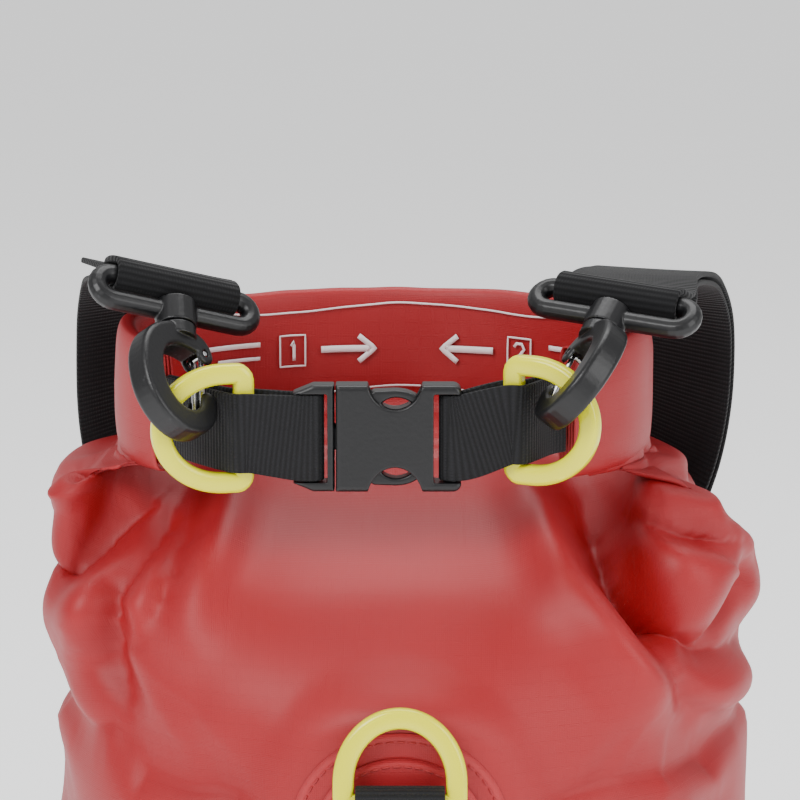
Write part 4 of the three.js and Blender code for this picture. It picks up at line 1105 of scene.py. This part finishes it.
# %% Sling's sewn end, on the slide
SLIDE_AT, SLIDE_BAR = 0.020, 0.0016
BAR_OFF = -(SLING_THICKNESS / 2 + LAYER + PLAY + SLIDE_BAR)
AROUND_BAR = SLIDE_BAR + PLAY + SLING_THICKNESS / 2
end_stations = [by_leg(SLIDE_AT + up, -LAYER) for up in (0.042, 0.024, 0.008)]
end_stations += [
    by_leg(SLIDE_AT - AROUND_BAR * math.sin(math.radians(a)), BAR_OFF + AROUND_BAR * math.cos(math.radians(a)))
    for a in (0, 45, 90, 135, 180)
]
end_stations += [by_leg(SLIDE_AT + 0.003, BAR_OFF - AROUND_BAR + 0.0006), by_leg(SLIDE_AT + 0.0085, -2 * LAYER - 0.0006)]
strap(
    "sling_tail", [s[0] for s in end_stations], [s[1] for s in end_stations], SLING_WIDTH, SLING_THICKNESS,
    SLING, 110, "slide", ["sling_end"],
)

# %% [markdown]
# ## D-rings
# A moulded ring has a round-cornered section and a glossy skin, so it is swept afresh along its D: the
# straight bar, two arms and half an ellipse. The joint gives the place of the bar, and given angles turn the ring about
# it.


# %% D-ring maker
def d_line(bar_x, half, arm, depth, corner=0.0012):
    """The middle line of the D in its own plane: the bar on x = 0, the bow towards +x."""
    points = [(bar_x + corner, -half)]
    points += [(arm * t, -half) for t in (0.4, 0.7, 1.0)]
    points += [
        (arm + (depth - arm) * math.sin(a), -half * math.cos(a))
        for a in np.linspace(0, math.pi, 34)[1:-1]
    ]
    points += [(arm * t, half) for t in (1.0, 0.7, 0.4)]
    points += [(bar_x + corner, half)]
    points += [(bar_x, half - corner), *[(bar_x, half * t) for t in np.linspace(0.8, -0.8, 9)], (bar_x, -half + corner)]
    return points


def d_ring(name, cad, body, matrix):
    bar, thick, depth, arm = 0.006, 0.005, 0.024, 0.006
    inside = STRAP_WIDTH / 2 + 0.0003
    line = [Vector((x, y)) for x, y in d_line(0.0, inside + bar / 2, arm, depth)]
    n = len(line)
    sides = 28
    verts = []
    for i, p in enumerate(line):
        before, after = line[i - 1], line[(i + 1) % n]
        one, two = (p - before).normalized(), (after - p).normalized()
        run = (one + two).normalized()
        stretch = min(1 / max(run.dot(two), 0.6), 1.5)
        across = Vector((-run.y, run.x))
        for k in range(sides):
            a = 2 * math.pi * k / sides
            c, s = math.cos(a), math.sin(a)
            w = bar / 2 * math.copysign(abs(c) ** 0.62, c) * stretch
            t = thick / 2 * math.copysign(abs(s) ** 0.62, s)
            flat = p - across * w
            verts.append(matrix @ Vector((flat.x, flat.y, t)))
    faces = [
        (i * sides + k, ((i + 1) % n) * sides + k, ((i + 1) % n) * sides + (k + 1) % sides, i * sides + (k + 1) % sides)
        for i in range(n)
        for k in range(sides)
    ]
    made = add(name, verts, faces, YELLOW, body, [cad])
    finer = made.modifiers.new("finer", "SUBSURF")
    finer.levels = finer.render_levels = 1
    return made


def standing(joint, to_bow, swing, tilt):
    turn = Matrix.Rotation(-math.radians(tilt), 4, "Y") @ Matrix.Rotation(-to_bow * math.radians(swing), 4, "Z")
    if to_bow < 0:
        turn = turn @ Matrix.Rotation(math.pi, 4, "Z")
    return Matrix.Translation(Vector(JOINTS[joint]["pos_m"])) @ turn @ Matrix.Rotation(math.pi / 2, 4, "X")


d_ring("d_ring_left_moulded", "d_ring_left", "d_ring_left", standing("d_ring_left_swing", -1, 15.1, -0.3))
d_ring("d_ring_right_moulded", "d_ring_right", "d_ring_right", standing("d_ring_right_swing", 1, 28.6, 0.4))
lean = Matrix.Rotation(math.pi / 2 - math.radians(8), 4, "X") @ Matrix.Rotation(math.pi / 2, 4, "Z")
d_ring("d_ring_front_moulded", "d_ring_front", "d_ring_front", Matrix.Translation(Vector(front_ring)) @ lean)

# %% [markdown]
# ## Moulded black pieces and the gates
# These shapes are right as they are. A fine remesh and a few smoothing passes round every edge by a
# fraction of a millimetre, which is what a mould does.


# %% Moulded pieces
def moulded(node, material, voxel=0.0003, passes=3):
    thing = frame["nodes"][node]
    thing.data.materials.clear()
    thing.data.materials.append(material)
    if voxel:
        skinning = thing.modifiers.new("mould", "REMESH")
        skinning.mode = "VOXEL"
        skinning.voxel_size = voxel
        skinning.use_smooth_shade = True
        soften = thing.modifiers.new("soften", "SMOOTH")
        soften.iterations = passes
        soften.factor = 0.5


for node in ("buckle_housing", "buckle_tongue", "prong_upper", "prong_lower", "sling_slide"):
    moulded(node, BLACK)
for side in ("left", "right"):
    moulded(f"sling_ring_{side}", BLACK)
    moulded(f"hook_{side}", BLACK)
    moulded(f"gate_{side}", STEEL, voxel=0.00016, passes=2)
moulded("base_disc", CLOTH, voxel=0)
